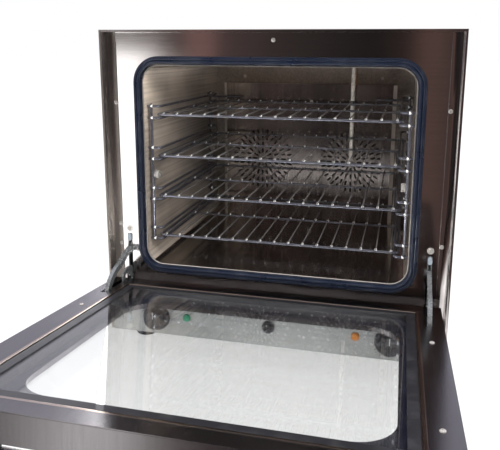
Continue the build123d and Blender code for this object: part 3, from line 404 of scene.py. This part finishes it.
looks = {
    "case": steel("case_steel", (0.54, 0.525, 0.51), 0.24),
    # Frame steel with painted shade along its lower strip, below the mouth.
    "frame": painted_shade_below(
        steel("frame_steel", (0.70, 0.67, 0.66), 0.085, FINE_ALONG_X, 0.000004),
        (0.58, 0.57, 0.57), 0.135, 0.160,
    ),
    "chamber": steel("chamber_steel", (0.65, 0.58, 0.51), 0.30, ALONG_Y, 0.000008, 0.40, 0.8),
    "guard": steel("guard_steel", (0.64, 0.57, 0.535), 0.18, ALONG_Z, 0.000004, 0.60),
    "door": steel("door_steel", (0.225, 0.215, 0.22), 0.20, ACROSS_X),
    "trim": steel("trim_steel", (0.56, 0.47, 0.40), 0.16, PLAIN, 0.000004),
    "lip": steel("lip_steel", (0.48, 0.435, 0.395), 0.46, ACROSS_Z, 0.000005, 0.12),
    # Painted highlight: pale, nearly plain steel that makes the guard's slanted sides look lit.
    "edge": steel("guard_side_painted_highlight", (0.96, 0.87, 0.78), 0.40, ALONG_Z, 0.000004, 0.1, 0.1),
    "floor_steel": steel("floor_steel", (0.78, 0.72, 0.66), 0.14, ALONG_Y, 0.000005, 0.15),
    # Left wall of the chamber: a lighter copy of the chamber steel, as painted light where the wall is
    # lit, with painted shade towards its bottom.
    "wall_steel_painted_light": painted_shade_below(
        steel("wall_steel_painted_light", (0.98, 0.85, 0.71), 0.22, ALONG_Y, 0.000008, 0.50, 0.20),
        (0.42, 0.42, 0.43), 0.36, 0.47,
    ),
    "panel": steel("panel_steel", (0.42, 0.435, 0.43), 0.36, ALONG_X, 0.000008, 0.1, 0.5),
    "zinc": galvanised("hinge_zinc", (0.34, 0.36, 0.375), 0.28),
    "screw": chrome("screw_zinc", (0.64, 0.62, 0.59), 0.18, (0.30, 0.29, 0.27), 0.7),
    "bolt": chrome("bolt_zinc", (0.92, 0.88, 0.82), 0.20, (0.60, 0.57, 0.53), 0.2),
    # One chrome wire in three copies: the bars darkened and tinted navy as painted shade, the thin wires a
    # lighter copy as painted light, and the weld beads pale and nearly plain as painted highlights.
    "wire": chrome("wire_chrome", (0.30, 0.31, 0.36), 0.12, (0.12, 0.13, 0.19), 0.9),
    "weld": chrome("weld_painted_highlight", (0.95, 0.95, 0.93), 0.30, (0.85, 0.85, 0.84), 0.1),
    "thin": chrome("thin_chrome_painted_light", (0.36, 0.355, 0.36), 0.15, (0.22, 0.22, 0.24), 0.8),
    "pipe": chrome("pipe_chrome", (0.97, 0.92, 0.85), 0.22, (0.72, 0.64, 0.55), 0.2),
    "rim": steel("rim_steel", (0.60, 0.57, 0.535), 0.22, PLAIN, 0.000003, 0.5, 0.6),
    "copper": chrome("probe_copper", (0.50, 0.27, 0.14), 0.35, (0.25, 0.13, 0.07)),
    "heater": chrome("heater_dark", (0.10, 0.09, 0.09), 0.5, (0.16, 0.11, 0.09)),
    "fan": steel("fan_aluminium", (0.34, 0.34, 0.34), 0.45, CAST),
    "gasket": plastic(
        "gasket_rubber", (0.004, 0.007, 0.017), 0.30, 1400.0, Coat_Weight=0.5, Coat_Roughness=0.10
    ),
    "seal": plastic("seal_rubber", (0.010, 0.010, 0.012), 0.4, 1500.0, Coat_Weight=0.2),
    "print": plastic(
        "border_print", (0.010, 0.010, 0.016), 0.08, 900.0, Coat_Weight=1.0, Coat_Roughness=0.03
    ),
    "spacer": plastic("spacer_black", (0.012, 0.012, 0.014), 0.6),
    "motor": plastic("motor_grey", (0.22, 0.23, 0.24), 0.45),
    "knob": plastic(
        "knob_black", (0.012, 0.012, 0.014), 0.28, 1600.0, Coat_Weight=0.4, Coat_Roughness=0.1
    ),
    "body": plastic("body_plastic", (0.05, 0.05, 0.055), 0.55),
    "mark": plastic("mark_white", (0.80, 0.80, 0.78), 0.5),
    "ceramic": plastic("ceramic_white", (0.78, 0.76, 0.70), 0.45, 700.0),
    "valve": plastic("valve_plastic", (0.72, 0.73, 0.75), 0.35),
    "foot": plastic("foot_rubber", (0.02, 0.02, 0.02), 0.7),
    "catch": plastic("catch_pale", (0.17, 0.20, 0.23), 0.30, 900.0),
    "wool": plastic("mineral_wool", (0.50, 0.45, 0.28), 0.95, 260.0),
    "green": lens("lens_green", (0.0, 0.20, 0.10), (0.0, 0.40, 0.20), 0.3),
    "orange": lens("lens_orange", (0.50, 0.16, 0.004), (0.7, 0.24, 0.005), 0.25),
    "glass": clear("lamp_glass", (0.96, 0.97, 0.95)),
    "inner_glass": clear("inner_door_glass", DOOR_GLASS, 1.60, DOOR_GLASS_TINT),
    "outer_glass": clear("outer_door_glass", DOOR_GLASS, 1.55, DOOR_GLASS_TINT),
}

CAD_LOOKS = {
    "case": ["base_pan", "side_panel_left", "side_panel_right", "top_panel", "back_panel", "handle_bar"],
    "frame": ["front_frame"],
    "panel": ["control_panel"],
    "chamber": ["cavity_liner"],
    "guard": ["fan_guard"],
    "door": ["door_inner_frame", "door_outer_skin"],
    "zinc": [
        "hinge_receiver_left", "hinge_receiver_right", "hinge_claw_left", "hinge_claw_right",
        "stay_arm_left", "stay_arm_right", "pipe_clip",
    ],
    "screw": ["chamber_screws", "support_nuts", "frame_screws", "hinge_pins", "door_screws", "lamp_bezel"],
    "wire": ["rack_support_left", "rack_support_right", "rack_1", "rack_2", "rack_3", "rack_4"],
    "pipe": ["steam_pipe"],
    "copper": ["temperature_probe"],
    "heater": ["ring_heaters"],
    "fan": ["fan_left", "fan_right"],
    "trim": ["door_trim"],
    "gasket": ["cavity_gasket"],
    "seal": ["door_glass_seal"],
    "spacer": ["door_spacer"],
    "motor": ["fan_motors"],
    "knob": ["timer_knob", "thermostat_knob", "steam_button"],
    "body": ["timer_body", "thermostat_body", "button_switch", "cable_gland", "handle_posts"],
    "ceramic": ["lamp_holder"],
    "valve": ["water_valve"],
    "foot": ["feet"],
    "catch": ["stay_catches"],
    "wool": ["insulation"],
    "green": ["green_lamp"],
    "orange": ["orange_lamp"],
    "glass": ["lamp_glass", "lamp_bulb"],
    "inner_glass": ["door_inner_glass"],
    "outer_glass": ["door_outer_glass"],
}


def dress_nodes():
    """Give every CAD node its look."""
    for look, names in CAD_LOOKS.items():
        for name in names:
            nodes[name].data.materials.clear()
            nodes[name].data.materials.append(looks[look])


# Modelling

def add_piece(name, data, body, look, replaced=()):
    """Put a mesh or curve in the scene as a piece of one body."""
    piece = bpy.data.objects.new(name, data)
    scene.collection.objects.link(piece)
    if look:
        data.materials.append(looks[look])
    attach(piece, body)
    if replaced:
        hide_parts(*replaced)
    return piece


def finish_mesh(bm, name, sharp=35):
    """Turn a bmesh into a smooth mesh that stays sharp at its corners."""
    bmesh.ops.recalc_face_normals(bm, faces=bm.faces)
    mesh = bpy.data.meshes.new(name)
    bm.to_mesh(mesh)
    bm.free()
    mesh.shade_smooth()
    mesh.set_sharp_from_angle(angle=radians(sharp))
    return mesh


def soften(node_name, look, width, segments):
    """Stand for a CAD node with its own shape and worn, rounded edges."""
    source = nodes[node_name]
    bm = bmesh.new()
    bm.from_mesh(source.data)
    bmesh.ops.remove_doubles(bm, verts=bm.verts, dist=0.000002)
    bmesh.ops.dissolve_limit(
        bm, angle_limit=radians(1), verts=bm.verts, edges=bm.edges, delimit={"NORMAL"}
    )
    name = node_name + "_soft"
    mesh = finish_mesh(bm, name)
    mesh.materials.clear()
    piece = add_piece(name, mesh, source["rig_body"], look, [node_name])
    edge = piece.modifiers.new("edge", "BEVEL")
    edge.width = width
    edge.segments = segments
    edge.limit_method = "ANGLE"
    edge.angle_limit = radians(40)
    edge.harden_normals = True


def paint(node_name, look, test):
    """Give a softened node's faces that pass a test their own look."""
    mesh = bpy.data.objects[node_name + "_soft"].data
    mesh.materials.append(looks[look])
    for face in mesh.polygons:
        if test(face.normal, face.center):
            face.material_index = len(mesh.materials) - 1


def rounded_outline(half_width, low, high, corner):
    """Points around a rounded rectangle in X and Z."""
    points = []
    for side, z, start in (
        (1, high - corner, 0), (-1, high - corner, 90), (-1, low + corner, 180), (1, low + corner, 270),
    ):
        for step in range(OUTLINE_STEPS + 1):
            angle = radians(start + 90 * step / OUTLINE_STEPS)
            points.append((side * (half_width - corner) + corner * cos(angle), z + corner * sin(angle)))
    return points


def join_loops(bm, first, second):
    """Faces between two closed loops of as many points."""
    for number in range(len(first)):
        after = (number + 1) % len(first)
        bm.faces.new((first[number], first[after], second[after], second[number]))


def mouth_ring(bm, profile):
    """Sweep a profile of outward and forward steps in millimetres around the mouth."""
    loops = []
    for out, forward in profile:
        out, y = out / 1000, FACE_Y - forward / 1000
        outline = rounded_outline(MOUTH_HALF + out, MOUTH_LOW - out, MOUTH_HIGH + out, MOUTH_CORNER + out)
        loops.append([bm.verts.new((x, y, z)) for x, z in outline])
    for first, second in zip(loops, loops[1:] + loops[:1]):
        join_loops(bm, first, second)


def round_point(radius, angle, height):
    """A point given by its distance from the Z axis, its angle about it and its height."""
    return Vector((radius * cos(angle), radius * sin(angle), height))


def turned(bm, profile, place, segments=48, flutes=0, cut=0.0, fluted=()):
    """Turn a profile of radius and height about the place's Z axis, with flutes on some stations."""
    loops = []
    for number, (radius, height) in enumerate(profile):
        loop = []
        for step in range(segments):
            angle = 2 * pi * step / segments
            reach = radius
            if number in fluted:
                reach -= cut * (0.5 + 0.5 * cos(flutes * angle))
            loop.append(bm.verts.new(place @ round_point(reach, angle, height)))
        loops.append(loop)
    for first, second in zip(loops, loops[1:]):
        join_loops(bm, first, second)
    bm.faces.new(loops[0])
    bm.faces.new(loops[-1])


def screw_head(bm, place, radius, washer=0.0, turn=0.4):
    """Domed head with a cross recess, and a washer where its radius is given."""
    segments, rings = 40, 9
    recess_reach, recess_width, recess_depth = 0.62, 0.34, 0.55
    if washer:
        flat, top = 0.0004, 0.0007
        turned(bm, [(washer, 0), (washer, flat), (washer - flat, top), (radius, top)], place, segments)
    angles = [2 * pi * step / segments for step in range(segments)]
    loops = []
    for number in range(1, rings + 1):
        share = number / rings
        crown = 0.35 + 0.65 * (1 - share ** 2.4) ** 0.6 if share < 1 else 0.3
        loop = []
        for angle in angles:
            height = HEAD_HEIGHT * crown
            if share < recess_reach and abs(sin(2 * (angle - turn))) * share < recess_width:
                height -= HEAD_HEIGHT * recess_depth
            loop.append(bm.verts.new(place @ round_point(radius * share, angle, height)))
        loops.append(loop)
    loops.append([bm.verts.new(place @ round_point(radius, angle, 0)) for angle in angles])
    for first, second in zip(loops, loops[1:]):
        join_loops(bm, first, second)
    bm.faces.new(loops[0])


def facing(x, y, z, direction="front"):
    """Place whose Z axis points out of a surface."""
    turns = {"front": (pi / 2, "X"), "left": (-pi / 2, "Y"), "right": (pi / 2, "Y")}
    angle, axis = turns[direction]
    return Matrix.Translation((x, y, z)) @ Matrix.Rotation(angle, 4, axis)


def bend(points, radius, closed=False, steps=5):
    """A path with its corners rounded."""
    points = [Vector(point) for point in points]
    path = []
    for number, corner in enumerate(points):
        if not closed and number in (0, len(points) - 1):
            path.append(corner)
            continue
        before = (points[number - 1] - corner).normalized()
        after = (points[(number + 1) % len(points)] - corner).normalized()
        start = corner + before * radius
        end = corner + after * radius
        for step in range(steps + 1):
            share = step / steps
            path.append(start * (1 - share) ** 2 + corner * 2 * share * (1 - share) + end * share ** 2)
    return path


def capped(start, end, radius):
    """A straight wire with rounded ends, as points with their radii."""
    start, end = Vector(start), Vector(end)
    along = (end - start).normalized()
    stations = ((0, 0.35), (0.25, 0.75), (0.8, 1.0))
    path = [(start + along * radius * inset, radius * share) for inset, share in stations]
    path += [(end - along * radius * inset, radius * share) for inset, share in reversed(stations)]
    return path


def even(points, radius):
    """A wire of one radius, as points with their radii."""
    return [(point, radius) for point in points]


# Lit and shaded copies of one chrome: dark bars, lighter thin wires, and bright weld beads as painted
# highlights.
WIRE_LOOKS = ("wire", "weld", "thin")


def add_wires(name, body, paths, replaced):
    """Round wires and weld beads as one bevelled curve."""
    data = bpy.data.curves.new(name, "CURVE")
    data.dimensions = "3D"
    data.bevel_depth = 0.001
    data.bevel_resolution = 3
    data.use_fill_caps = True
    for look in WIRE_LOOKS:
        data.materials.append(looks[look])
    for path, closed, look in paths:
        line = data.splines.new("POLY")
        line.points.add(len(path) - 1)
        for point, (place, radius) in zip(line.points, path):
            point.co = (*place, 1)
            point.radius = radius / data.bevel_depth
        line.use_cyclic_u = closed
        line.material_index = WIRE_LOOKS.index(look)
        line.use_smooth = True
    add_piece(name, data, body, None, replaced)


# Sheet, moulded and cast pieces: node, look, edge width, edge segments
WORN_EDGES = (
    ("side_panel_left", "case", 0.0006, 2),
    ("side_panel_right", "case", 0.0006, 2),
    ("top_panel", "case", 0.0006, 2),
    ("back_panel", "case", 0.0006, 2),
    ("base_pan", "case", 0.0006, 2),
    ("front_frame", "frame", 0.0005, 2),
    ("control_panel", "panel", 0.0006, 2),
    ("door_inner_frame", "door", 0.0008, 3),
    ("door_outer_skin", "door", 0.0008, 3),
    ("door_trim", "trim", 0.0003, 2),
    ("fan_guard", "guard", 0.0004, 2),
    ("hinge_claw_left", "zinc", 0.00035, 2),
    ("hinge_claw_right", "zinc", 0.00035, 2),
    ("stay_arm_left", "zinc", 0.00035, 2),
    ("stay_arm_right", "zinc", 0.00035, 2),
    ("hinge_receiver_left", "zinc", 0.0003, 2),
    ("hinge_receiver_right", "zinc", 0.0003, 2),
    ("stay_catches", "catch", 0.0008, 3),
    ("handle_bar", "case", 0.0010, 3),
    ("handle_posts", "body", 0.0008, 3),
    ("water_valve", "valve", 0.0008, 3),
    ("cable_gland", "body", 0.0005, 2),
    ("fan_left", "fan", 0.0003, 2),
    ("fan_right", "fan", 0.0003, 2),
    ("cavity_liner", "chamber", 0.0003, 2),
)


def faces_forward(normal, centre):
    """Front edges of a panel."""
    return normal.y < -0.8


def slants_forward(normal, centre):
    """Faces that slant to a side and to the front."""
    return abs(normal.x) > 0.4 and normal.y < -0.4


def on_floor(normal, centre):
    """Floor of the chamber."""
    return normal.z > 0.6 and centre.z < MOUTH_LOW + FLOOR_RISE


def on_left_wall(normal, centre):
    """Left wall of the chamber."""
    return normal.x > 0.6 and centre.x < 0


def add_worn_pieces():
    """Pieces that keep the CAD shape, with worn edges and a look of their own on some faces."""
    for node_name, look, width, segments in WORN_EDGES:
        soften(node_name, look, width, segments)
    paint("side_panel_left", "lip", faces_forward)
    paint("side_panel_right", "frame", faces_forward)
    paint("top_panel", "frame", faces_forward)
    # Painted highlight on the slanted sides of the fan guard.
    paint("fan_guard", "edge", slants_forward)
    paint("cavity_liner", "floor_steel", on_floor)
    # Painted light: the left wall gets the lighter copy of the chamber steel.
    paint("cavity_liner", "wall_steel_painted_light", on_left_wall)


def add_gasket():
    """Ribbed gasket around the mouth."""
    bm = bmesh.new()
    mouth_ring(bm, GASKET_PROFILE)
    mesh = finish_mesh(bm, "gasket_profile", 80)
    add_piece("gasket_profile", mesh, "case", "gasket", ["cavity_gasket"])


def add_mouth_rim():
    """Rolled edge of the mouth, inside the gasket."""
    bm = bmesh.new()
    mouth_ring(bm, RIM_PROFILE)
    add_piece("mouth_rim", finish_mesh(bm, "mouth_rim", 80), "case", "rim")


def add_frame_screws():
    """Screws of the front frame, and the hinges' screws with their washers."""
    bm = bmesh.new()
    for x, z in (
        (-EDGE_SCREW_X, EDGE_SCREW_LOW), (-EDGE_SCREW_X, EDGE_SCREW_HIGH),
        (EDGE_SCREW_X, EDGE_SCREW_LOW), (EDGE_SCREW_X, EDGE_SCREW_HIGH),
        (-EDGE_SCREW_X, EXTRA_SCREW_Z), (0, TOP_SCREW_Z),
    ):
        screw_head(bm, facing(x, FACE_Y - FRAME_SCREW_LIFT, z), HEAD_RADIUS, 0, x * 9 + z * 31)
    screw_head(bm, facing(0, FACE_Y, BOTTOM_SCREW_Z), HEAD_RADIUS)
    for side in (-1, 1):
        place = facing(side * HINGE_SCREW_X, FACE_Y, HINGE_SCREW_Z)
        screw_head(bm, place, HINGE_HEAD_RADIUS, HINGE_WASHER, 0.2)
    mesh = finish_mesh(bm, "frame_screw_heads")
    add_piece("frame_screw_heads", mesh, "case", "screw", ["frame_screws"])


def add_door_screws():
    """Screws in the door's side flanges, on its chamber side."""
    bm = bmesh.new()
    for side in (-1, 1):
        for z in DOOR_SCREW_LEVELS:
            closed = facing(side * DOOR_SCREW_X, DOOR_Y, z) @ Matrix.Rotation(pi, 4, "X")
            screw_head(bm, SWING @ closed, HEAD_RADIUS, 0, z * 20)
    mesh = finish_mesh(bm, "door_screw_heads")
    add_piece("door_screw_heads", mesh, "door", "screw", ["door_screws"])


def add_chamber_screws():
    """Screws of the fan guard and of the chamber's back wall."""
    bm = bmesh.new()
    for z in GUARD_SCREW_LEVELS:
        screw_head(bm, facing(GUARD_SCREW_X, GUARD_Y, z), HEAD_RADIUS, 0, z * 30)
    for side in (-1, 1):
        screw_head(bm, facing(side * BACK_SCREW_X, WALL_Y, BACK_SCREW_Z), HEAD_RADIUS, 0, side)
    mesh = finish_mesh(bm, "chamber_screw_heads")
    add_piece("chamber_screw_heads", mesh, "case", "bolt", ["chamber_screws"])


def add_nuts():
    """Knurled nuts that hold the shelf supports."""
    bm = bmesh.new()
    for side, way in ((-1, "right"), (1, "left")):
        for y in (SUPPORT_FRONT + STUD_OFFSET, SUPPORT_BACK - STUD_OFFSET):
            turned(bm, NUT_PROFILE, facing(side * NUT_X, y, NUT_Z, way), 60, NUT_RIBS, RIB_DEPTH, (2, 3))
    mesh = finish_mesh(bm, "knurled_nuts", 30)
    add_piece("knurled_nuts", mesh, "case", "screw", ["support_nuts"])


def add_shelf(number, level):
    """Wire shelf: rim, middle bar and thin wires, with a bead at every weld."""
    bar = level + BAR_RISE
    top = bar + THIN_RISE
    corners = [
        (-SHELF_HALF, SHELF_FRONT, bar), (SHELF_HALF, SHELF_FRONT, bar),
        (SHELF_HALF, SHELF_BACK, bar), (-SHELF_HALF, SHELF_BACK, bar),
    ]
    middle = capped((-SHELF_HALF, SHELF_MIDDLE, bar), (SHELF_HALF, SHELF_MIDDLE, bar), MIDDLE_BAR)
    paths = [(even(bend(corners, WIRE_BEND, True), BAR), True, "wire"), (middle, False, "wire")]
    for step in range(THIN_COUNT):
        x = (step - THIN_COUNT // 2) * THIN_PITCH
        start = (x, SHELF_FRONT - THIN_OVERHANG, top)
        end = (x, SHELF_BACK + THIN_OVERHANG, top)
        paths.append((capped(start, end, THIN_WIRE), False, "thin"))
        for y in (SHELF_FRONT, SHELF_MIDDLE, SHELF_BACK):
            start = (x, y - BEAD_REACH, top - BEAD_DROP)
            end = (x, y + BEAD_REACH, top - BEAD_DROP)
            paths.append((capped(start, end, BEAD), False, "weld"))
    add_wires(f"shelf_wires_{number}", f"rack_{number}", paths, [f"rack_{number}"])


def add_support(name, side):
    """Wire support of one side: two posts, two runners at each level, and the tie at the back."""
    paths = []
    for y in (SUPPORT_FRONT, SUPPORT_BACK):
        post = capped((side * POST_X, y, POST_LOW), (side * POST_X, y, POST_HIGH), POST)
        paths.append((post, False, "wire"))
    for z in [level + lift for level in LEVELS for lift in (0, RUNNER_GAP)]:
        corners = [
            (side * ROD_END_X, SUPPORT_FRONT, z), (side * RUNNER_X, SUPPORT_FRONT, z),
            (side * RUNNER_X, SUPPORT_BACK, z), (side * ROD_END_X, SUPPORT_BACK, z),
        ]
        paths.append((even(bend(corners, WIRE_BEND), BAR), False, "wire"))
        for y in (SUPPORT_FRONT, SUPPORT_BACK):
            start = (side * (POST_X - POST_BEAD_IN), y, z)
            end = (side * (POST_X + POST_BEAD_OUT), y, z)
            paths.append((capped(start, end, POST_BEAD), False, "weld"))
    tie = capped((side * POST_X, SUPPORT_BACK, TIE_Z), (side * TIE_X, SUPPORT_BACK, TIE_Z), BAR)
    paths.append((tie, False, "wire"))
    add_wires(f"support_wires_{name}", "case", paths, [f"rack_support_{name}"])


def add_knob(name, side):
    """Fluted knob with its shaft and a pointer."""
    x = side * KNOB_X
    bm = bmesh.new()
    place = facing(x, PANEL_Y - KNOB_GAP, KNOB_Z)
    turned(bm, KNOB_PROFILE, place, 96, KNOB_FLUTES, FLUTE_DEPTH, (4, 5))
    place = facing(x, PANEL_Y + SHAFT_BACK, KNOB_Z)
    turned(bm, [(SHAFT_RADIUS, 0), (SHAFT_RADIUS, SHAFT_LENGTH)], place, 24)
    mesh = finish_mesh(bm, f"{name}_knob_body")
    add_piece(f"{name}_knob_body", mesh, f"{name}_knob", "knob", [f"{name}_knob"])
    bm = bmesh.new()
    bmesh.ops.create_cube(bm, size=1)
    place = Matrix.Translation((x, PANEL_Y - POINTER_REACH, KNOB_Z + POINTER_RISE))
    bmesh.ops.transform(bm, verts=bm.verts, matrix=place @ Matrix.Diagonal((*POINTER_SIZE, 1)))
    bmesh.ops.bevel(bm, geom=bm.edges[:], offset=POINTER_EDGE, segments=2, affect="EDGES")
    add_piece(f"{name}_pointer", finish_mesh(bm, f"{name}_pointer"), f"{name}_knob", "mark")


def add_dial(name, side):
    """Dial marks on the panel around a knob."""
    centre = Matrix.Translation((side * KNOB_X, PANEL_Y - TICK_REACH, KNOB_Z))
    outward = Matrix.Translation((0, 0, TICK_RADIUS)) @ Matrix.Diagonal((*TICK_SIZE, 1))
    bm = bmesh.new()
    for degrees in TICK_ANGLES:
        start = len(bm.verts)
        bmesh.ops.create_cube(bm, size=1)
        bm.verts.ensure_lookup_table()
        tick = centre @ Matrix.Rotation(radians(degrees), 4, "Y") @ outward
        bmesh.ops.transform(bm, verts=bm.verts[start:], matrix=tick)
    add_piece(f"{name}_dial", finish_mesh(bm, f"{name}_dial"), "case", "body")


def add_border_print():
    """Black printed border on the inner side of the outer glass."""
    bm = bmesh.new()
    edge, window = rounded_outline(*PRINT_EDGE), rounded_outline(*PRINT_WINDOW)
    loops = [
        [bm.verts.new(SWING @ Vector((x, DOOR_Y - depth, z))) for x, z in outline]
        for outline, depth in (
            (edge, PRINT_NEAR), (window, PRINT_NEAR), (window, PRINT_FAR), (edge, PRINT_FAR),
        )
    ]
    for first, second in zip(loops, loops[1:] + loops[:1]):
        join_loops(bm, first, second)
    add_piece("border_print", finish_mesh(bm, "border_print"), "door", "print")


# Stage

def add_floor():
    """Plain pale floor. It is white far away and keeps the shadow near the oven."""
    bm = bmesh.new()
    bmesh.ops.create_circle(bm, cap_ends=True, segments=96, radius=30)
    mesh = bpy.data.meshes.new("floor")
    bm.to_mesh(mesh)
    bm.free()
    floor = bpy.data.objects.new("floor", mesh)
    scene.collection.objects.link(floor)
    made, tree, shader = material("floor", (0.93, 0.93, 0.94), 0.0, 0.85)
    place = node(tree, "TexCoord")
    distance = node(tree, "VectorMath", operation="LENGTH")
    link(tree, place.outputs["Object"], distance.inputs[0])
    path = node(tree, "LightPath")
    seen = combine(tree, "MAXIMUM", path.outputs["Is Camera Ray"], path.outputs["Is Transmission Ray"])
    far = spread(tree, distance.outputs["Value"], 0.95, 1.0, 0.5, 1.5)
    white = node(tree, "Emission", Color=(1, 1, 1, 1), Strength=1.12)
    lit = mix_shaders(tree, combine(tree, "MULTIPLY", far, seen), shader.outputs[0], white.outputs[0])
    beyond = spread(tree, distance.outputs["Value"], 0, 1, 0.5, 0.7)
    hidden = combine(tree, "MULTIPLY", beyond, path.outputs["Is Glossy Ray"])
    unseen = node(tree, "BsdfTransparent")
    surface = mix_shaders(tree, hidden, lit, unseen.outputs[0])
    link(tree, surface, tree.nodes["Material Output"].inputs["Surface"])
    mesh.materials.append(made)


def add_light(name, place, target, width, height, power, color=(1, 1, 1), mirrored=False):
    """Soft rectangular studio light."""
    data = bpy.data.lights.new(name, "AREA")
    data.shape = "RECTANGLE"
    data.size = width
    data.size_y = height
    data.energy = power
    data.color = color
    light = bpy.data.objects.new(name, data)
    scene.collection.objects.link(light)
    aim = Vector(target) - Vector(place)
    light.location = place
    light.visible_glossy = mirrored
    light.rotation_euler = aim.to_track_quat("-Z", "Y").to_euler()


def azimuth_ramp(tree, share, stops):
    """Colour by azimuth in degrees from the front, to the right."""
    ramp = node(tree, "ValToRGB")
    link(tree, share, ramp.inputs[0])
    elements = ramp.color_ramp.elements
    while len(elements) < len(stops):
        elements.new(0.5)
    for element, (azimuth, color) in zip(elements, stops):
        element.position = (azimuth + 180) / 360
        element.color = (*color, 1)
    return ramp.outputs["Color"]


STUDIO = (0.66, 0.65, 0.76)
CEILING = (0.60, 0.60, 0.64)
BROWN = (0.15, 0.13, 0.125)
DARK = (0, 0, 0)
PAPER = (1, 1, 1)

# The dark room that polished metal mirrors, by azimuth
ROOM = (
    (-180, STUDIO), (-75, STUDIO), (-52, BROWN), (-23.2, BROWN), (-20.8, (0.07, 0.05, 0.048)),
    (-19, (0.30, 0.17, 0.155)), (-17.0, (0.08, 0.055, 0.053)), (-12, (0.045, 0.035, 0.034)),
    (-3, (0.016, 0.014, 0.014)), (0.4, (0.035, 0.024, 0.022)), (2.2, (0.17, 0.10, 0.085)),
    (3.4, (0.06, 0.042, 0.038)), (32, (0.045, 0.036, 0.036)), (60, (0.2, 0.18, 0.18)),
    (95, STUDIO), (180, STUDIO),
)

# White table in front of the oven, to the left
TABLE = (
    (-180, DARK), (-34, DARK), (-31.5, PAPER), (-24.6, PAPER), (-22.4, (0.12, 0.11, 0.1)),
    (-20, DARK), (180, DARK),
)


def add_world():
    """White studio. In reflections the room in front of the oven is dark."""
    world = bpy.data.worlds.new("studio")
    scene.world = world
    world.use_nodes = True
    tree = world.node_tree
    tree.nodes.clear()
    output = node(tree, "OutputWorld")
    place = node(tree, "TexCoord")
    parts = node(tree, "SeparateXYZ")
    link(tree, place.outputs["Generated"], parts.inputs[0])
    forward = node(tree, "Math", operation="MULTIPLY")
    forward.inputs[1].default_value = -1
    link(tree, parts.outputs["Y"], forward.inputs[0])
    azimuth = combine(tree, "ARCTAN2", parts.outputs["X"], forward.outputs[0])
    share = spread(tree, azimuth, 0, 1, -pi, pi)
    room = azimuth_ramp(tree, share, ROOM)
    table = azimuth_ramp(tree, share, TABLE)
    low = spread(tree, parts.outputs["Z"], 2.0, 0.10, -0.013, 0.007)
    paper = node(tree, "VectorMath", operation="SCALE")
    link(tree, table, paper.inputs[0])
    link(tree, low, paper.inputs["Scale"])
    front = node(tree, "VectorMath", operation="ADD")
    link(tree, room, front.inputs[0])
    link(tree, paper.outputs[0], front.inputs[1])
    high = spread(tree, parts.outputs["Z"], 0, 1, 0.80, 0.98)
    sky = node(tree, "Mix", data_type="RGBA")
    sky.inputs[7].default_value = (*CEILING, 1)
    link(tree, high, sky.inputs[0])
    link(tree, front.outputs[0], sky.inputs[6])
    mirrored = node(tree, "Background", Strength=1.0)
    link(tree, sky.outputs[2], mirrored.inputs["Color"])
    white = node(tree, "Background", Color=(1, 1, 1, 1), Strength=1.0)
    soft = node(tree, "Background", Color=(0.96, 0.97, 1, 1), Strength=0.6)
    path = node(tree, "LightPath")
    seen = combine(tree, "MAXIMUM", path.outputs["Is Camera Ray"], path.outputs["Is Transmission Ray"])
    unseen = mix_shaders(tree, path.outputs["Is Glossy Ray"], soft.outputs[0], mirrored.outputs[0])
    link(tree, mix_shaders(tree, seen, unseen, white.outputs[0]), output.inputs["Surface"])


def add_camera():
    """Camera at the photograph's place and angle."""
    yaw, pitch, roll = radians(13.24), radians(11.32), radians(0.31)
    place = (0.2104, -1.2057, 0.5371)
    ahead = Vector((-sin(yaw) * cos(pitch), cos(yaw) * cos(pitch), -sin(pitch)))
    level = Vector((cos(yaw), sin(yaw), 0))
    above = level.cross(ahead)
    right = level * cos(roll) + above * sin(roll)
    up = above * cos(roll) - level * sin(roll)
    data = bpy.data.cameras.new("camera")
    data.sensor_width = 36
    data.lens = 43.55
    data.shift_x = -0.0219
    data.shift_y = -0.1068
    data.clip_start = 0.01
    camera = bpy.data.objects.new("camera", data)
    scene.collection.objects.link(camera)
    turn = Matrix((right, up, -ahead)).transposed().to_4x4()
    camera.matrix_world = Matrix.Translation(place) @ turn
    scene.camera = camera


add_floor()
add_world()
add_camera()
add_light("left", (-1.3, -1.5, 1.0), (0.1, 0, 0.35), 0.8, 0.8, 45, (1.0, 0.95, 0.9))
add_light("key", (1.5, -1.7, 1.9), (0, 0, 0.3), 1.2, 1.2, 85, (1.0, 0.96, 0.92))
add_light("top", (0, -0.3, 2.4), (0, -0.3, 0), 2.2, 2.2, 60)
add_light("back", (-0.6, 2.2, 1.5), (0, 0, 0.3), 1.8, 1.2, 40, mirrored=True)
scene.view_settings.view_transform = "Standard"

dress_nodes()
add_worn_pieces()
add_gasket()
add_mouth_rim()
add_frame_screws()
add_door_screws()
add_chamber_screws()
add_nuts()
for number, level in enumerate(LEVELS, start=1):
    add_shelf(number, level)
for name, side in (("left", -1), ("right", 1)):
    add_support(name, side)
for name, side in (("timer", -1), ("thermostat", 1)):
    add_knob(name, side)
    add_dial(name, side)
add_border_print()
